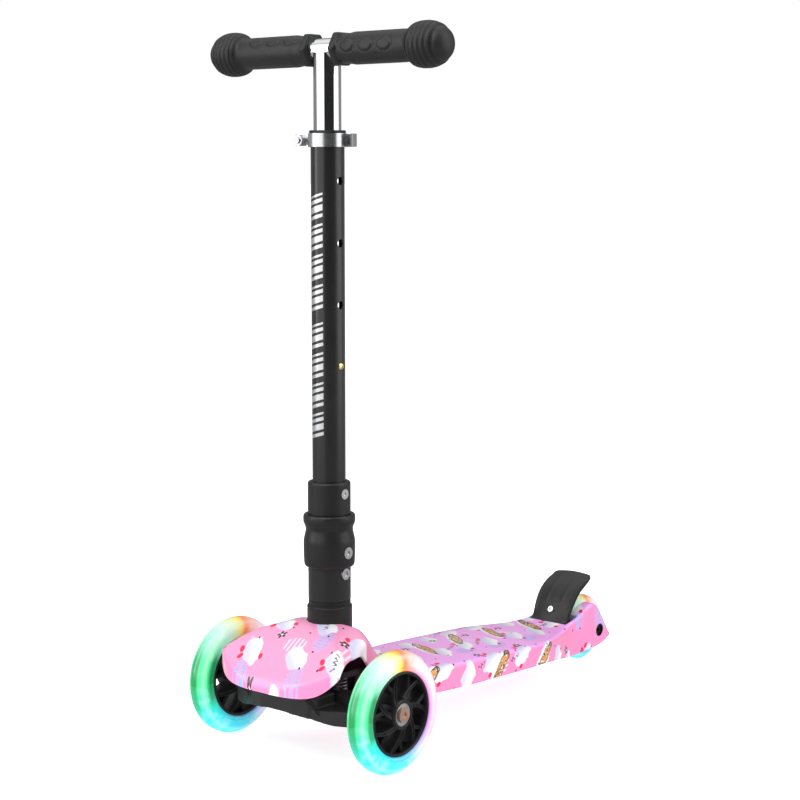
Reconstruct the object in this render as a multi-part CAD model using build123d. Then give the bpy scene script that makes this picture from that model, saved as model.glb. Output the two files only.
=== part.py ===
from build123d import *
import os
from math import cos, radians, sin

# Children's three-wheeled kick scooter. Millimetres, +Z up, the front faces -Y, left is +X.
# The origin is on the ground, under the middle of the scooter's length.

# ---- Driving dimensions ------------------------------------------------------------------
FRONT_WHEEL_R = 60.0
REAR_WHEEL_R = 38.0
TYRE_W = 24.0
TRACK = 212.0
WHEELBASE = 468.0
NOSE = 70.0                 # cover's nose in front of the front axle

STEM_BEHIND_AXLE = 28.0
FOLD_Z = 177.9              # folding pivot
BAR_Z = 689.4               # crossbar centre
BAR_R = 11.1
BAR_HALF = 143.0
GRIP_IN = 15.0
GRIP_END = 151.0

TUBE_R, TUBE_BORE = 16.5, 15.0          # fixed outer tube
INNER_R, INNER_BORE = 13.5, 12.0        # telescoping inner tube
TUBE_TOP = 610.0
HOLE_LOW_Z, HOLE_STEP, HOLES = 384.0, 60.0, 4
HOLE_R = 4.0

AXLE_R = 3.95               # shanks running in bearings
BEARING_R, BEARING_BORE, BEARING_W = 11.0, 4.0, 7.0
BEARING_FACE = 12.6         # bearing's outer face from the wheel's middle plane
BOSS_FACE = 13.6            # hub boss's face from the same plane
GAP = 0.1                   # side play between a bearing and what holds it

KINGPIN_TILT = 45.0         # steering axis, rising towards the front
KINGPIN_R = 4.95
DECK_HALF = 60.0
WING_HALF = 29.0            # tail wings beside the rear wheel
WHEEL_SLOT_HALF = 15.2
BRAKE_PIVOT_AFT, BRAKE_PIVOT_Z = 410.0, 52.0

# ---- Places worked out from them -----------------------------------------------------------
FRONT_Y = -(WHEELBASE + REAR_WHEEL_R - NOSE) / 2
REAR_Y = FRONT_Y + WHEELBASE
STEM_Y = FRONT_Y + STEM_BEHIND_AXLE
TILT = radians(KINGPIN_TILT)
KING_AXIS = Vector(0, -cos(TILT), sin(TILT))
KING_CENTRE = Vector(0, FRONT_Y, FRONT_WHEEL_R)
UP, ACROSS, BACK = (0, 0, 1), (1, 0, 0), (0, 1, 0)
BASE = (Align.CENTER, Align.CENTER, Align.MIN)
SIDES = {"left": 1, "right": -1}


# ---- Building helpers ----------------------------------------------------------------------
def aft(distance):
    """Y of a point so far behind the front axle."""
    return FRONT_Y + distance


def save(node, *shapes):
    shape = shapes[0] if len(shapes) == 1 else Compound(children=list(shapes))
    export_step(shape, f"parts/{node}.step")


def block(x0, x1, y0, y1, z0, z1):
    return Pos((x0 + x1) / 2, (y0 + y1) / 2, (z0 + z1) / 2) * Box(x1 - x0, y1 - y0, z1 - z0)


def rod(radius, start, axis, length):
    return Plane(origin=start, z_dir=axis) * Cylinder(radius, length, align=BASE)


def ring(outer, inner, start, axis, length):
    return rod(outer, start, axis, length) - rod(inner, start, axis, length)


def hexagon(across_flats, start, axis, length):
    shape = extrude(RegularPolygon(across_flats / 2, 6, major_radius=False), length)
    return Plane(origin=start, z_dir=axis) * shape


def outline(points):
    return make_face(Polyline(*points, close=True))


def turned(profile, start, axis):
    """Revolve (radius, height) points about an axis."""
    face = Plane.XZ * outline(profile)
    return Plane(origin=start, z_dir=axis) * revolve(face, Axis.Z)


def from_side(face, half_width):
    """A side view (distance behind the front axle, height) extruded equally both ways."""
    return Pos(-half_width, FRONT_Y, 0) * extrude(Plane.YZ * face, 2 * half_width)


def from_above(face, z0, z1):
    return Pos(0, FRONT_Y, z0) * extrude(face, z1 - z0)


def mirrored(half):
    """Close a half plan outline, given on +X from front to rear, with its mirror image."""
    return outline(list(half) + [(-x, y) for x, y in reversed(half)])


def coil(radius, wire_r, start, length, turns, axis=UP):
    """A helical spring along an axis."""
    pitch = (length - 2 * wire_r) / turns
    path = Helix(pitch, pitch * turns, radius)
    section = Plane(origin=path @ 0, z_dir=path % 0) * Circle(wire_r)
    wire = sweep(section, path=path)
    return Plane(origin=start, z_dir=axis) * Pos(0, 0, wire_r) * wire


def socket_bolt(shank_r, head_r, head_h, start, axis, length, socket=2.5):
    """Bolt whose head's underside is at start; the shank runs along the axis."""
    axis = Vector(*axis)
    start = Vector(*start)
    bolt = rod(shank_r, start, axis, length) + rod(head_r, start - axis * head_h, axis, head_h)
    return bolt - hexagon(2 * socket, start - axis * head_h, axis, 0.6 * head_h)


# ---- Wheels --------------------------------------------------------------------------------
def tyre(centre, outer_r, seat_r, light_r, light_w):
    half = TYRE_W / 2
    flank = Polyline((-half, outer_r - half), (-half, seat_r), (half, seat_r), (half, outer_r - half))
    crown = ThreePointArc((half, outer_r - half), (0, outer_r), (-half, outer_r - half))
    body = revolve(Plane.XY * make_face(flank + crown), Axis.X)
    groove = ring(light_r, seat_r - 1, (-light_w / 2, 0, 0), ACROSS, light_w)
    return Pos(*centre) * (body - groove)


def wheel_core(centre, seat_r, rim_in_r, spokes):
    hub_r, hub_w, spoke_w, spoke_t = 14.5, 2 * BOSS_FACE, 13.0, 4.0
    rim = ring(seat_r, rim_in_r, (-TYRE_W / 2, 0, 0), ACROSS, TYRE_W)
    boss = rod(hub_r, (-hub_w / 2, 0, 0), ACROSS, hub_w)
    bend_r = seat_r / 2
    arc = ring(bend_r + spoke_t / 2, bend_r - spoke_t / 2, (-spoke_w / 2, bend_r, 0), ACROSS, spoke_w)
    arc = arc & block(-hub_w, hub_w, -seat_r, 2 * seat_r, 0, seat_r)
    arc = arc & rod(rim_in_r + 1, (-hub_w, 0, 0), ACROSS, 2 * hub_w)
    body = rim + boss
    for k in range(spokes):
        body += Rot(360 * k / spokes, 0, 0) * arc
    pocket = BEARING_FACE - BEARING_W
    body -= rod(BEARING_R - 2, (-hub_w, 0, 0), ACROSS, 2 * hub_w)
    for way in (1, -1):
        body -= rod(BEARING_R, (way * pocket, 0, 0), (way, 0, 0), hub_w)
    return Pos(*centre) * body


def bearing_pair(centre):
    """Two sealed ball bearings; a shallow groove on each face sets off the seal."""
    w, groove = BEARING_W, 0.5
    seal_in, seal_out = 6.2, 9.4
    race = [(BEARING_BORE, 0), (seal_in, 0), (seal_in, groove), (seal_out, groove), (seal_out, 0),
            (BEARING_R, 0), (BEARING_R, w), (seal_out, w), (seal_out, w - groove),
            (seal_in, w - groove), (seal_in, w), (BEARING_BORE, w)]
    inner = BEARING_FACE - BEARING_W
    return [turned(race, Vector(*centre) + Vector(way * inner, 0, 0), (way, 0, 0)) for way in (1, -1)]


def spacer(centre):
    length = 2 * (BEARING_FACE - BEARING_W) - 2 * GAP
    return ring(5.6, BEARING_BORE, Vector(*centre) - Vector(length / 2, 0, 0), ACROSS, length)


def save_wheel(name, centre, outer_r, seat_r, light_r, light_w, spokes):
    save(f"{name[0]}_tyre{name[1]}", tyre(centre, outer_r, seat_r, light_r, light_w))
    save(f"{name[0]}_core{name[1]}", wheel_core(centre, seat_r, seat_r - 5, spokes))
    band = ring(light_r, seat_r, Vector(*centre) - Vector(light_w / 2, 0, 0), ACROSS, light_w)
    save(f"{name[0]}_light_ring{name[1]}", band)
    save(f"{name[0]}_bearings{name[1]}", *bearing_pair(centre))


def save_wheels():
    centres = {side: (way * TRACK / 2, FRONT_Y, FRONT_WHEEL_R) for side, way in SIDES.items()}
    for side, centre in centres.items():
        save_wheel(("front", "_" + side), centre, FRONT_WHEEL_R, 41.0, 43.5, 12.0, 7)
    save("front_spacers", *[spacer(c) for c in centres.values()])
    bolt_start = TRACK / 2 + BEARING_FACE + GAP
    save("front_axle_bolts", *[
        socket_bolt(AXLE_R, 7.5, 2.5, (way * bolt_start, FRONT_Y, FRONT_WHEEL_R), (-way, 0, 0), 62)
        for way in SIDES.values()])

    rear = (0, REAR_Y, REAR_WHEEL_R)
    save_wheel(("rear", ""), rear, REAR_WHEEL_R, 25.0, 27.0, 10.0, 5)
    save("rear_spacer", spacer(rear))
    seat = WING_HALF - 6
    save("rear_axle", socket_bolt(AXLE_R, 6.5, 3.5, (seat, REAR_Y, REAR_WHEEL_R), (-1, 0, 0), 2 * seat + 4))
    nut = hexagon(12, (-seat - 4.5, REAR_Y, REAR_WHEEL_R), ACROSS, 4.5)
    save("rear_axle_nut", nut - rod(AXLE_R, (-seat - 6, REAR_Y, REAR_WHEEL_R), ACROSS, 8))


# ---- Deck ----------------------------------------------------------------------------------
PLATFORM_Z, PLATFORM_END = 60.0, 114.0     # lowered front of the deck, under the cover
TOP_FRONT_Z, TOP_END, TOP_END_Z = 68.2, 405.0, 51.9
SKIN = 4.0
WHEEL_SLOT_AFT = 424.0
BRAKE_POCKET_AFT, BRAKE_POCKET_Z, BRAKE_POCKET_HALF = 401.0, 45.0, 26.6
AXLE_BOSS_R, AXLE_CUP_R, AXLE_CUP_DEPTH = 6.5, 7.5, 6.0
DECK_BOLT_R, DECK_BOLT_HOLE_R = 3.0, 3.1
SCREW_R, SCREW_PILOT_R, SCREW_HOLE_R = 1.85, 1.9, 1.95
DECK_SIDE = [(50, 43), (50, PLATFORM_Z), (PLATFORM_END, PLATFORM_Z), (PLATFORM_END, TOP_FRONT_Z),
             (TOP_END, TOP_END_Z), (416, 51.5), (428, 57.5), (443, 70.5), (450, 72.5), (456, 70.5),
             (491, 30), (489, 27), (479, 22), (462, 19), (418, 17), (395, 20), (319, 33.4), (126, 40.8)]
DECK_PLAN = [(54, 50), (54, PLATFORM_END), (56.5, 135), (DECK_HALF, 180), (DECK_HALF, 300),
             (58, 322), (31, 405), (WING_HALF, 420), (WING_HALF, 491)]


def deck_outside():
    return from_side(outline(DECK_SIDE), DECK_HALF + 5) & from_above(mirrored(DECK_PLAN), 0, 90)


def top_z(distance):
    slope = (TOP_END_Z - TOP_FRONT_Z) / (TOP_END - PLATFORM_END)
    return TOP_FRONT_Z + slope * (distance - PLATFORM_END)


def deck_cavity():
    side = [(40, 5), (40, PLATFORM_Z - SKIN), (PLATFORM_END + 2, PLATFORM_Z - SKIN),
            (PLATFORM_END + 6, top_z(120) - SKIN), (390, top_z(390) - SKIN), (390, 5)]
    plan = [(50.5, 40)] + [(x - 3.5, y) for x, y in DECK_PLAN[1:6]] + [(33, 388)]
    return from_side(outline(side), DECK_HALF) & from_above(mirrored(plan), 0, 90)


def deck_ribs():
    long_ribs = [block(x - 1.25, x + 1.25, aft(118), aft(392), 0, 80) for x in (-36, -12, 12, 36)]
    cross_ribs = [block(-70, 70, aft(y), aft(y + 2.5), 0, 80) for y in range(120, 380, 38)]
    ribs = long_ribs[0].fuse(*long_ribs[1:], *cross_ribs)
    return ribs & deck_cavity()


def deck_bolt_places():
    return [(x, aft(y)) for x in (-20, 20) for y in (68, 98)]


def rear_cover_screw_places():
    return [(x, aft(96)) for x in (-42, 42)]


def save_deck():
    outside = deck_outside()
    deck = outside - deck_cavity() + (deck_ribs() & outside)
    deck -= block(-WHEEL_SLOT_HALF, WHEEL_SLOT_HALF, aft(WHEEL_SLOT_AFT), aft(500), 0, 90)
    deck -= block(-BRAKE_POCKET_HALF, BRAKE_POCKET_HALF, aft(BRAKE_POCKET_AFT), aft(WHEEL_SLOT_AFT + 1),
                  BRAKE_POCKET_Z, 90)
    for way in (1, -1):
        wall = (way * WHEEL_SLOT_HALF, REAR_Y, REAR_WHEEL_R)
        deck += rod(AXLE_BOSS_R, wall, (-way, 0, 0), WHEEL_SLOT_HALF - BEARING_FACE - GAP)
        cup = (way * (WING_HALF - AXLE_CUP_DEPTH), REAR_Y, REAR_WHEEL_R)
        deck -= rod(AXLE_CUP_R, cup, (way, 0, 0), 10)
    deck -= rod(AXLE_R + 0.05, (-40, REAR_Y, REAR_WHEEL_R), ACROSS, 80)
    deck -= rod(2.5, (-WING_HALF - 0.5, aft(BRAKE_PIVOT_AFT), BRAKE_PIVOT_Z), ACROSS, 2 * WING_HALF + 1)
    for x, y in deck_bolt_places():
        deck -= rod(DECK_BOLT_HOLE_R, (x, y, 30), UP, 40)
    for x, y in rear_cover_screw_places():
        deck -= rod(SCREW_HOLE_R, (x, y, 30), UP, 40)
    save("deck_shell", deck)
    heads = [(x, y, PLATFORM_Z) for x, y in deck_bolt_places()]
    save("deck_bolts", *[socket_bolt(DECK_BOLT_R, 5.0, 3.0, head, (0, 0, -1), 16) for head in heads])


# ---- Nose: cover, truck housing, kingpin, axle bridge -----------------------------------------
COVER_SIDE = [(-70, 40), (-70, 76), (-67, 86), (-55, 98), (-40, 109), (-20, 120), (0, 127.5), (12, 129),
              (36, 129), (52, 125), (70, 112), (90, 92), (112, 70), (112, 40)]
COVER_PLAN = [(20, -70), (44, -65), (62, -57), (74, -47), (80, -36), (79, -24), (70, -8), (61, 6),
              (58, 24), (58, 70), (54, 113)]
COVER_FRONT = [(82, 40), (82, 82), (79, 93), (72, 105), (61, 115), (47, 122.5), (24, 129)]
COVER_TURN, COVER_DROP = radians(40), radians(7)        # the slanting view that shapes its rear shoulders
COVER_SHOULDER = [(-150, 0), (-150, 150), (26, 150), (26, 130.5), (38.5, 128.8), (47, 125), (55.5, 113),
                  (62, 99), (67, 89.5), (74, 83.5), (130, 79.5), (130, 0)]
COVER_RIM = [(-90, 20), (-90, 70), (-70, 72), (-45, 79), (-36, 80), (-36, 60), (120, 60), (120, 20)]
COVER_WALL = 3.0
ARCH_R, ARCH_AFT, ARCH_Z = 38.0, -4.0, 70.0
FRONT_SCREW_X, FRONT_SCREW_AFT = 38.0, 40.0
PLATE_Z0, PLATE_Z1 = 84.0, 90.0
HOUSING_PLAN = [(50, -10), (50, 22), (43, 44), (30, 54)]
BARREL_HALF, BARREL_R = 16.0, 15.0


def cover_shoulders(face):
    """The slanting outline cut through the cover from both sides."""
    across = (cos(COVER_TURN), sin(COVER_TURN), 0)
    towards = (sin(COVER_TURN) * cos(COVER_DROP), -cos(COVER_TURN) * cos(COVER_DROP), sin(COVER_DROP))
    view = Plane(origin=(0, FRONT_Y, 0), x_dir=across, z_dir=towards)
    body = extrude(view * face, 200, both=True)
    return body & mirror(body, about=Plane.YZ)


def cover_form(inset):
    faces = [outline(COVER_SIDE), mirrored(COVER_PLAN), mirrored(COVER_FRONT), outline(COVER_SHOULDER)]
    if inset:
        faces = [offset(face, -inset, kind=Kind.INTERSECTION) for face in faces]
    side, plan, front, shoulder = faces
    front_body = Pos(0, aft(120), 0) * extrude(Plane.XZ * front, 200)
    return from_side(side, 100) & from_above(plan, 20, 140) & front_body & cover_shoulders(shoulder)


def save_cover():
    outer = cover_form(0)
    inner = cover_form(COVER_WALL)
    inner += (Pos(0, 0, -2 * COVER_WALL) * inner)
    shell = outer - inner
    bosses = [rod(4.5, (x, y, PLATFORM_Z), UP, 70) for x, y in rear_cover_screw_places()]
    bosses += [rod(4.5, (way * FRONT_SCREW_X, aft(FRONT_SCREW_AFT), PLATE_Z1), UP, 50) for way in (1, -1)]
    for boss in bosses:
        shell += boss & outer
    shell -= from_side(outline(COVER_RIM), 100)
    shell -= rod(ARCH_R, (-100, aft(ARCH_AFT), ARCH_Z), ACROSS, 200)
    shell -= rod(22.6, (0, STEM_Y, 80), UP, 60)
    pilot_h = 12
    for x, y in rear_cover_screw_places():
        shell -= rod(SCREW_PILOT_R, (x, y, PLATFORM_Z - 1), UP, pilot_h)
    for way in (1, -1):
        shell -= rod(SCREW_PILOT_R, (way * FRONT_SCREW_X, aft(FRONT_SCREW_AFT), PLATE_Z1 - 1), UP, pilot_h)
    save("truck_cover", shell)

    rear = [(x, y, PLATFORM_Z - SKIN) for x, y in rear_cover_screw_places()]
    front = [(way * FRONT_SCREW_X, aft(FRONT_SCREW_AFT), PLATE_Z0) for way in (1, -1)]
    save("cover_screws", *[socket_bolt(SCREW_R, 3.5, 2.4, p, UP, 14, socket=1.2) for p in rear + front])


def on_kingpin(s):
    """Point on the steering axis, s in front of and above its centre."""
    return KING_CENTRE + KING_AXIS * s


def save_housing():
    lug = BARREL_HALF + 0.3
    lug_t = 9.7
    plate = from_above(mirrored(HOUSING_PLAN), PLATE_Z0, PLATE_Z1)
    spine = block(-14, 14, aft(35), aft(50), 30, PLATE_Z1)
    foot = block(-14, 14, aft(20), aft(50), 30, 46)
    tail = block(-30, 30, aft(40), aft(110), 50, PLATFORM_Z - SKIN)
    housing = plate + spine + foot + tail
    housing += rod(BARREL_R, on_kingpin(lug), KING_AXIS, lug_t)
    housing += rod(BARREL_R, on_kingpin(-lug), -KING_AXIS, lug_t)
    housing -= rod(10, on_kingpin(-lug - lug_t), -KING_AXIS, 30)
    housing -= rod(KINGPIN_R, on_kingpin(-60), KING_AXIS, 120)
    housing -= rod(4.2, (0, STEM_Y, 80), UP, 20)
    for x, y in deck_bolt_places():
        housing -= rod(DECK_BOLT_HOLE_R, (x, y, 40), UP, 30)
    for way in (1, -1):
        housing -= rod(SCREW_HOLE_R, (way * FRONT_SCREW_X, aft(FRONT_SCREW_AFT), 80), UP, 20)
    save("truck_housing", housing)

    reach = lug + lug_t
    head_h, nut_h = 7.0, 8.0
    bolt = rod(KINGPIN_R, on_kingpin(-reach), KING_AXIS, 2 * reach + nut_h + 2)
    save("kingpin_bolt", bolt + hexagon(15, on_kingpin(-reach - head_h), KING_AXIS, head_h))
    nut = hexagon(15, on_kingpin(reach), KING_AXIS, nut_h)
    save("kingpin_nut", nut - rod(KINGPIN_R, on_kingpin(reach - 1), KING_AXIS, nut_h + 2))


BRIDGE_PLAN = [(22, -48), (44, -43), (74, -29), (90, -10), (90, 10), (72, 14), (40, 20), (22, 20)]
BRIDGE_NOSE = [(20, -51), (38, -46), (44, -38), (44, -14), (30, -10)]
BRIDGE_ARCH = [(60, 40), (52, 46.5), (38, 50), (12, 53.5)]
BRIDGE_Z0, BRIDGE_LEDGE, BRIDGE_TOP = 45.0, 60.0, 71.0
SPRING_X, SPRING_AFT = 32.0, 8.0


def save_bridge():
    arm = from_above(mirrored(BRIDGE_PLAN), BRIDGE_Z0, BRIDGE_LEDGE)
    nose = from_above(mirrored(BRIDGE_NOSE), BRIDGE_Z0 + 3, BRIDGE_TOP)
    body = arm + nose
    for way in (1, -1):
        body += rod(11, (way * 40, FRONT_Y, FRONT_WHEEL_R), (way, 0, 0), 51)
        body += rod(6.5, (way * 90, FRONT_Y, FRONT_WHEEL_R), (way, 0, 0), TRACK / 2 - BEARING_FACE - GAP - 90)
        body += rod(8, (way * SPRING_X, aft(SPRING_AFT), BRIDGE_Z0 + 5), UP, 14)
    for way in (1, -1):
        body -= rod(21, on_kingpin(way * BARREL_HALF), KING_AXIS * way, 24)
    body -= from_above(mirrored([(30, -40), (30, -20)]), BRIDGE_Z0 - 1, BRIDGE_TOP - 3)
    body -= Pos(0, aft(-38), 0) * extrude(Plane.XZ * mirrored(BRIDGE_ARCH), 30)
    body += rod(BARREL_R, on_kingpin(-BARREL_HALF), KING_AXIS, 2 * BARREL_HALF)
    body -= rod(KINGPIN_R + 2.05, on_kingpin(-60), KING_AXIS, 120)
    for way in (1, -1):
        body -= rod(AXLE_R + 0.05, (way * 50, FRONT_Y, FRONT_WHEEL_R), (way, 0, 0), 60)
    save("axle_bridge", body)

    bush = BARREL_HALF - 1
    wall_in, wall_out = KINGPIN_R + 0.05, KINGPIN_R + 2.05
    save("bridge_bushings", *[
        ring(wall_out, wall_in, on_kingpin(way * 1), KING_AXIS * way, bush) for way in (1, -1)])
    spring_z = BRIDGE_Z0 + 19.3
    save("steering_springs", *[
        coil(6.0, 1.1, (way * SPRING_X, aft(SPRING_AFT), spring_z), PLATE_Z0 - spring_z - 0.3, 5)
        for way in (1, -1)])


# ---- Folding hinge and lock sleeve ------------------------------------------------------------
BASE_R, BASE_TOP, RING_TOP = 22.5, 144.6, 151.0
HINGE_R, EAR_RISE = 21.2, 7.5
TONGUE_HALF, TONGUE_R = 9.0, 14.0
FOLD_SEAT = 20.3            # half the width between the fold pin's head and nut
SHOULDER_RISE = 21.8
SPIGOT_R = 15.55
COLLAR_Z0, COLLAR_Z1, COLLAR_R = 236.9, 269.4, 21.3
SLEEVE_Z0, SLEEVE_Z1, SLEEVE_BORE = 183.9, 236.6, 21.6
SLEEVE_LIP_Z = 206.5
GUIDE_Z, COLLAR_SCREW_Z = 199.5, 257.9


def save_hinge_lower():
    base = ring(BASE_R, SPIGOT_R + 0.05, (0, STEM_Y, PLATE_Z1), UP, BASE_TOP - PLATE_Z1)
    save("stem_base", chamfer(base.edges().group_by(Axis.Z)[-1].filter_by(GeomType.CIRCLE), 0.6))
    bore, height = SPIGOT_R + 0.05, RING_TOP - BASE_TOP
    grooved = [(bore, 0), (21, 0), (21, 1.6), (20.4, 2.0), (20.4, 2.6), (21, 3.0), (21, 4.4), (20.4, 4.8),
               (20.4, 5.4), (21, 5.8), (21, height), (bore, height)]
    save("base_ring", turned(grooved, (0, STEM_Y, BASE_TOP), UP))

    body = rod(HINGE_R, (0, STEM_Y, RING_TOP), UP, FOLD_Z + EAR_RISE - RING_TOP)
    body = chamfer(body.edges().group_by(Axis.Z)[-1], 1.2)
    swing = rod(60, (-30, STEM_Y, FOLD_Z), ACROSS, 60) - rod(21.3, (-30, STEM_Y, FOLD_Z), ACROSS, 60)
    body -= swing & block(-30, 30, STEM_Y, STEM_Y + 60, FOLD_Z, FOLD_Z + 60)
    slot_half, slot_floor = TONGUE_HALF + 0.2, TONGUE_R + 0.5
    body -= block(-slot_half, slot_half, STEM_Y - slot_floor, STEM_Y + 40, FOLD_Z - slot_floor, FOLD_Z + 40)
    body += rod(SPIGOT_R, (0, STEM_Y, PLATE_Z1 + 2), UP, RING_TOP - PLATE_Z1 - 2)
    body -= rod(3.95, (0, STEM_Y, PLATE_Z1), UP, 36)
    body -= rod(4.0, (-40, STEM_Y, FOLD_Z), ACROSS, 80)
    for way in (1, -1):
        body -= rod(6.0, (way * FOLD_SEAT, STEM_Y, FOLD_Z), (way, 0, 0), 10)
    save("hinge_lower", body)
    save("stem_bolt", socket_bolt(3.9, 6.4, 7, (0, STEM_Y, PLATE_Z0), UP, 38, socket=3))

    length = 2 * FOLD_SEAT + 3
    save("fold_pin", socket_bolt(3.95, 5.7, 2.0, (FOLD_SEAT, STEM_Y, FOLD_Z), (-1, 0, 0), length))
    nut = rod(5.7, (-FOLD_SEAT - 3.6, STEM_Y, FOLD_Z), ACROSS, 3.6)
    save("fold_nut", nut - rod(3.95, (-FOLD_SEAT - 5, STEM_Y, FOLD_Z), ACROSS, 6))


def save_hinge_upper():
    shoulder_z = FOLD_Z + SHOULDER_RISE
    flange_top = SLEEVE_LIP_Z - 0.5
    tongue = block(-TONGUE_HALF, TONGUE_HALF, STEM_Y - TONGUE_R, STEM_Y + TONGUE_R, FOLD_Z, shoulder_z + 2)
    body = tongue + rod(TONGUE_R, (-TONGUE_HALF, STEM_Y, FOLD_Z), ACROSS, 2 * TONGUE_HALF)
    body += rod(COLLAR_R, (0, STEM_Y, shoulder_z), UP, flange_top - shoulder_z)
    body += rod(18.4, (0, STEM_Y, flange_top), UP, COLLAR_Z0 - flange_top)
    body -= rod(4.0, (-20, STEM_Y, FOLD_Z), ACROSS, 40)
    body -= rod(TUBE_R + 0.05, (0, STEM_Y, 215), UP, 60)
    body -= block(16.8, 30, STEM_Y - 2.3, STEM_Y + 2.3, shoulder_z - 1, 222)
    save("hinge_upper", body)

    collar = ring(COLLAR_R, TUBE_R + 0.05, (0, STEM_Y, COLLAR_Z0), UP, COLLAR_Z1 - COLLAR_Z0)
    collar = fillet(collar.edges().group_by(Axis.Z)[-1].sort_by(SortBy.RADIUS)[-1], 2.5)
    collar -= rod(SCREW_HOLE_R, (0, STEM_Y, COLLAR_SCREW_Z), ACROSS, 30)
    collar -= rod(5.1, (19.9, STEM_Y, COLLAR_SCREW_Z), ACROSS, 10)
    save("upper_collar", collar)
    screw_seat = (19.9, STEM_Y, COLLAR_SCREW_Z)
    save("collar_screw", socket_bolt(1.9, 5.0, 1.3, screw_seat, (-1, 0, 0), 5.5, socket=1.5))


def save_sleeve():
    z = [h - SLEEVE_Z0 for h in (187.5, 210.8, 222.4, 227.5, 229, 235.4, SLEEVE_Z1, 210.0, SLEEVE_LIP_Z)]
    profile = [(SLEEVE_BORE, 0), (22.6, 0), (24.6, 1.2), (25.4, z[0]), (25.55, z[1]), (23.45, z[2]),
               (25.4, z[3]), (25.95, z[4]), (25.95, z[5]), (25.2, z[6]), (SLEEVE_BORE, z[6]),
               (SLEEVE_BORE, z[7]), (18.8, z[7]), (18.8, z[8]), (SLEEVE_BORE, z[8])]
    sleeve = turned(profile, (0, STEM_Y, SLEEVE_Z0), UP)
    sleeve -= rod(2.05, (0, STEM_Y, GUIDE_Z), ACROSS, 40)
    sleeve -= rod(5.95, (23.4, STEM_Y, GUIDE_Z), ACROSS, 10)
    save("lock_sleeve", sleeve)
    save("guide_screw", socket_bolt(2.0, 5.9, 2.1, (23.4, STEM_Y, GUIDE_Z), (-1, 0, 0), 6.2, socket=2))
    spring_z = 210.3
    save("sleeve_spring", coil(20.0, 0.8, (0, STEM_Y, spring_z), COLLAR_Z0 - spring_z - 0.3, 5))


# ---- Stem tubes, height lock and clamp ----------------------------------------------------------
CLAMP_Z0, CLAMP_Z1 = 596.7, 609.7
CLAMP_MID = (CLAMP_Z0 + CLAMP_Z1) / 2
EAR_X, LEVER_Y = -28.0, 16.0


def save_tubes():
    outer = ring(TUBE_R, TUBE_BORE, (0, STEM_Y, 215), UP, TUBE_TOP - 215)
    for k in range(HOLES):
        outer -= rod(HOLE_R, (0, STEM_Y, HOLE_LOW_Z + k * HOLE_STEP), ACROSS, 30)
    outer -= rod(SCREW_HOLE_R, (0, STEM_Y, COLLAR_SCREW_Z), ACROSS, 30)
    save("outer_tube", outer)

    bush = [(INNER_R + 0.1, 0), (TUBE_BORE, 0), (TUBE_BORE, 30), (17.6, 30), (18.0, 31), (17.6, 32.6),
            (INNER_R + 0.1, 32.6)]
    save("tube_bushing", turned(bush, (0, STEM_Y, TUBE_TOP - 30), UP))

    foot_z = 350.0
    inner = ring(INNER_R, INNER_BORE, (0, STEM_Y, foot_z), UP, BAR_Z - 3 - foot_z)
    inner -= rod(BAR_R, (-40, STEM_Y, BAR_Z), ACROSS, 80)
    inner -= rod(3.6, (0, STEM_Y, HOLE_LOW_Z), ACROSS, 30)
    save("inner_tube", inner)
    save("lower_guide", ring(TUBE_BORE - 0.15, INNER_R, (0, STEM_Y, foot_z), UP, 12))

    button = [(0, 0), (5.0, 0), (5.0, 1.6), (3.5, 1.6), (3.5, 7.9), (2.9, 8.7), (1.0, 8.9), (1.0, 8.4),
              (0, 8.4)]
    save("snap_button", turned(button, (8.4, STEM_Y, HOLE_LOW_Z), ACROSS))
    bend_r, leaf = 9.6, 0.8
    legs = block(8.4 - leaf, 8.4, STEM_Y - 3, STEM_Y + 3, 368, 392)
    legs += block(8.4 - 2 * bend_r, 8.4 - 2 * bend_r + leaf, STEM_Y - 3, STEM_Y + 3, 368, 392)
    bend = ring(bend_r, bend_r - leaf, (8.4 - bend_r, STEM_Y - 3, 368), BACK, 6)
    save("button_clip", legs + (bend & block(-20, 20, STEM_Y - 5, STEM_Y + 5, 350, 368)))


def save_clamp():
    height = CLAMP_Z1 - CLAMP_Z0
    ears = block(-37, -15, STEM_Y - 7, STEM_Y + 7, CLAMP_Z0, CLAMP_Z1)
    collar = rod(19.0, (0, STEM_Y, CLAMP_Z0), UP, height) + ears
    collar = fillet(collar.edges().filter_by(Axis.Z).group_by(Axis.X)[0], 3)
    collar -= rod(TUBE_R, (0, STEM_Y, CLAMP_Z0 - 1), UP, height + 2)
    collar -= block(-50, -10, STEM_Y - 1.2, STEM_Y + 1.2, CLAMP_Z0 - 1, CLAMP_Z1 + 1)
    collar -= rod(3.05, (EAR_X, STEM_Y - 20, CLAMP_MID), BACK, 40)
    save("clamp_collar", collar)

    bolt = rod(3.0, (EAR_X, STEM_Y - 14, CLAMP_MID), BACK, 14 + LEVER_Y)
    bolt += rod(5.4, (EAR_X, STEM_Y + LEVER_Y, CLAMP_MID - 2.8), UP, 5.6)
    save("clamp_bolt", bolt - rod(2.5, (EAR_X, STEM_Y + LEVER_Y, CLAMP_MID - 5), UP, 10))
    nut = rod(5.6, (EAR_X, STEM_Y - 12.5, CLAMP_MID), BACK, 5.5)
    save("clamp_nut", nut - rod(3.0, (EAR_X, STEM_Y - 13, CLAMP_MID), BACK, 8))
    washer = block(EAR_X - 6.5, EAR_X + 6.5, STEM_Y + 7, STEM_Y + 8.8, CLAMP_MID - 6, CLAMP_MID + 6)
    save("clamp_washer", washer - rod(3.0, (EAR_X, STEM_Y + 6, CLAMP_MID), BACK, 4))
    save("clamp_pin", rod(2.5, (EAR_X, STEM_Y + LEVER_Y, CLAMP_Z0 + 0.3), UP, height - 0.6))


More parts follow.
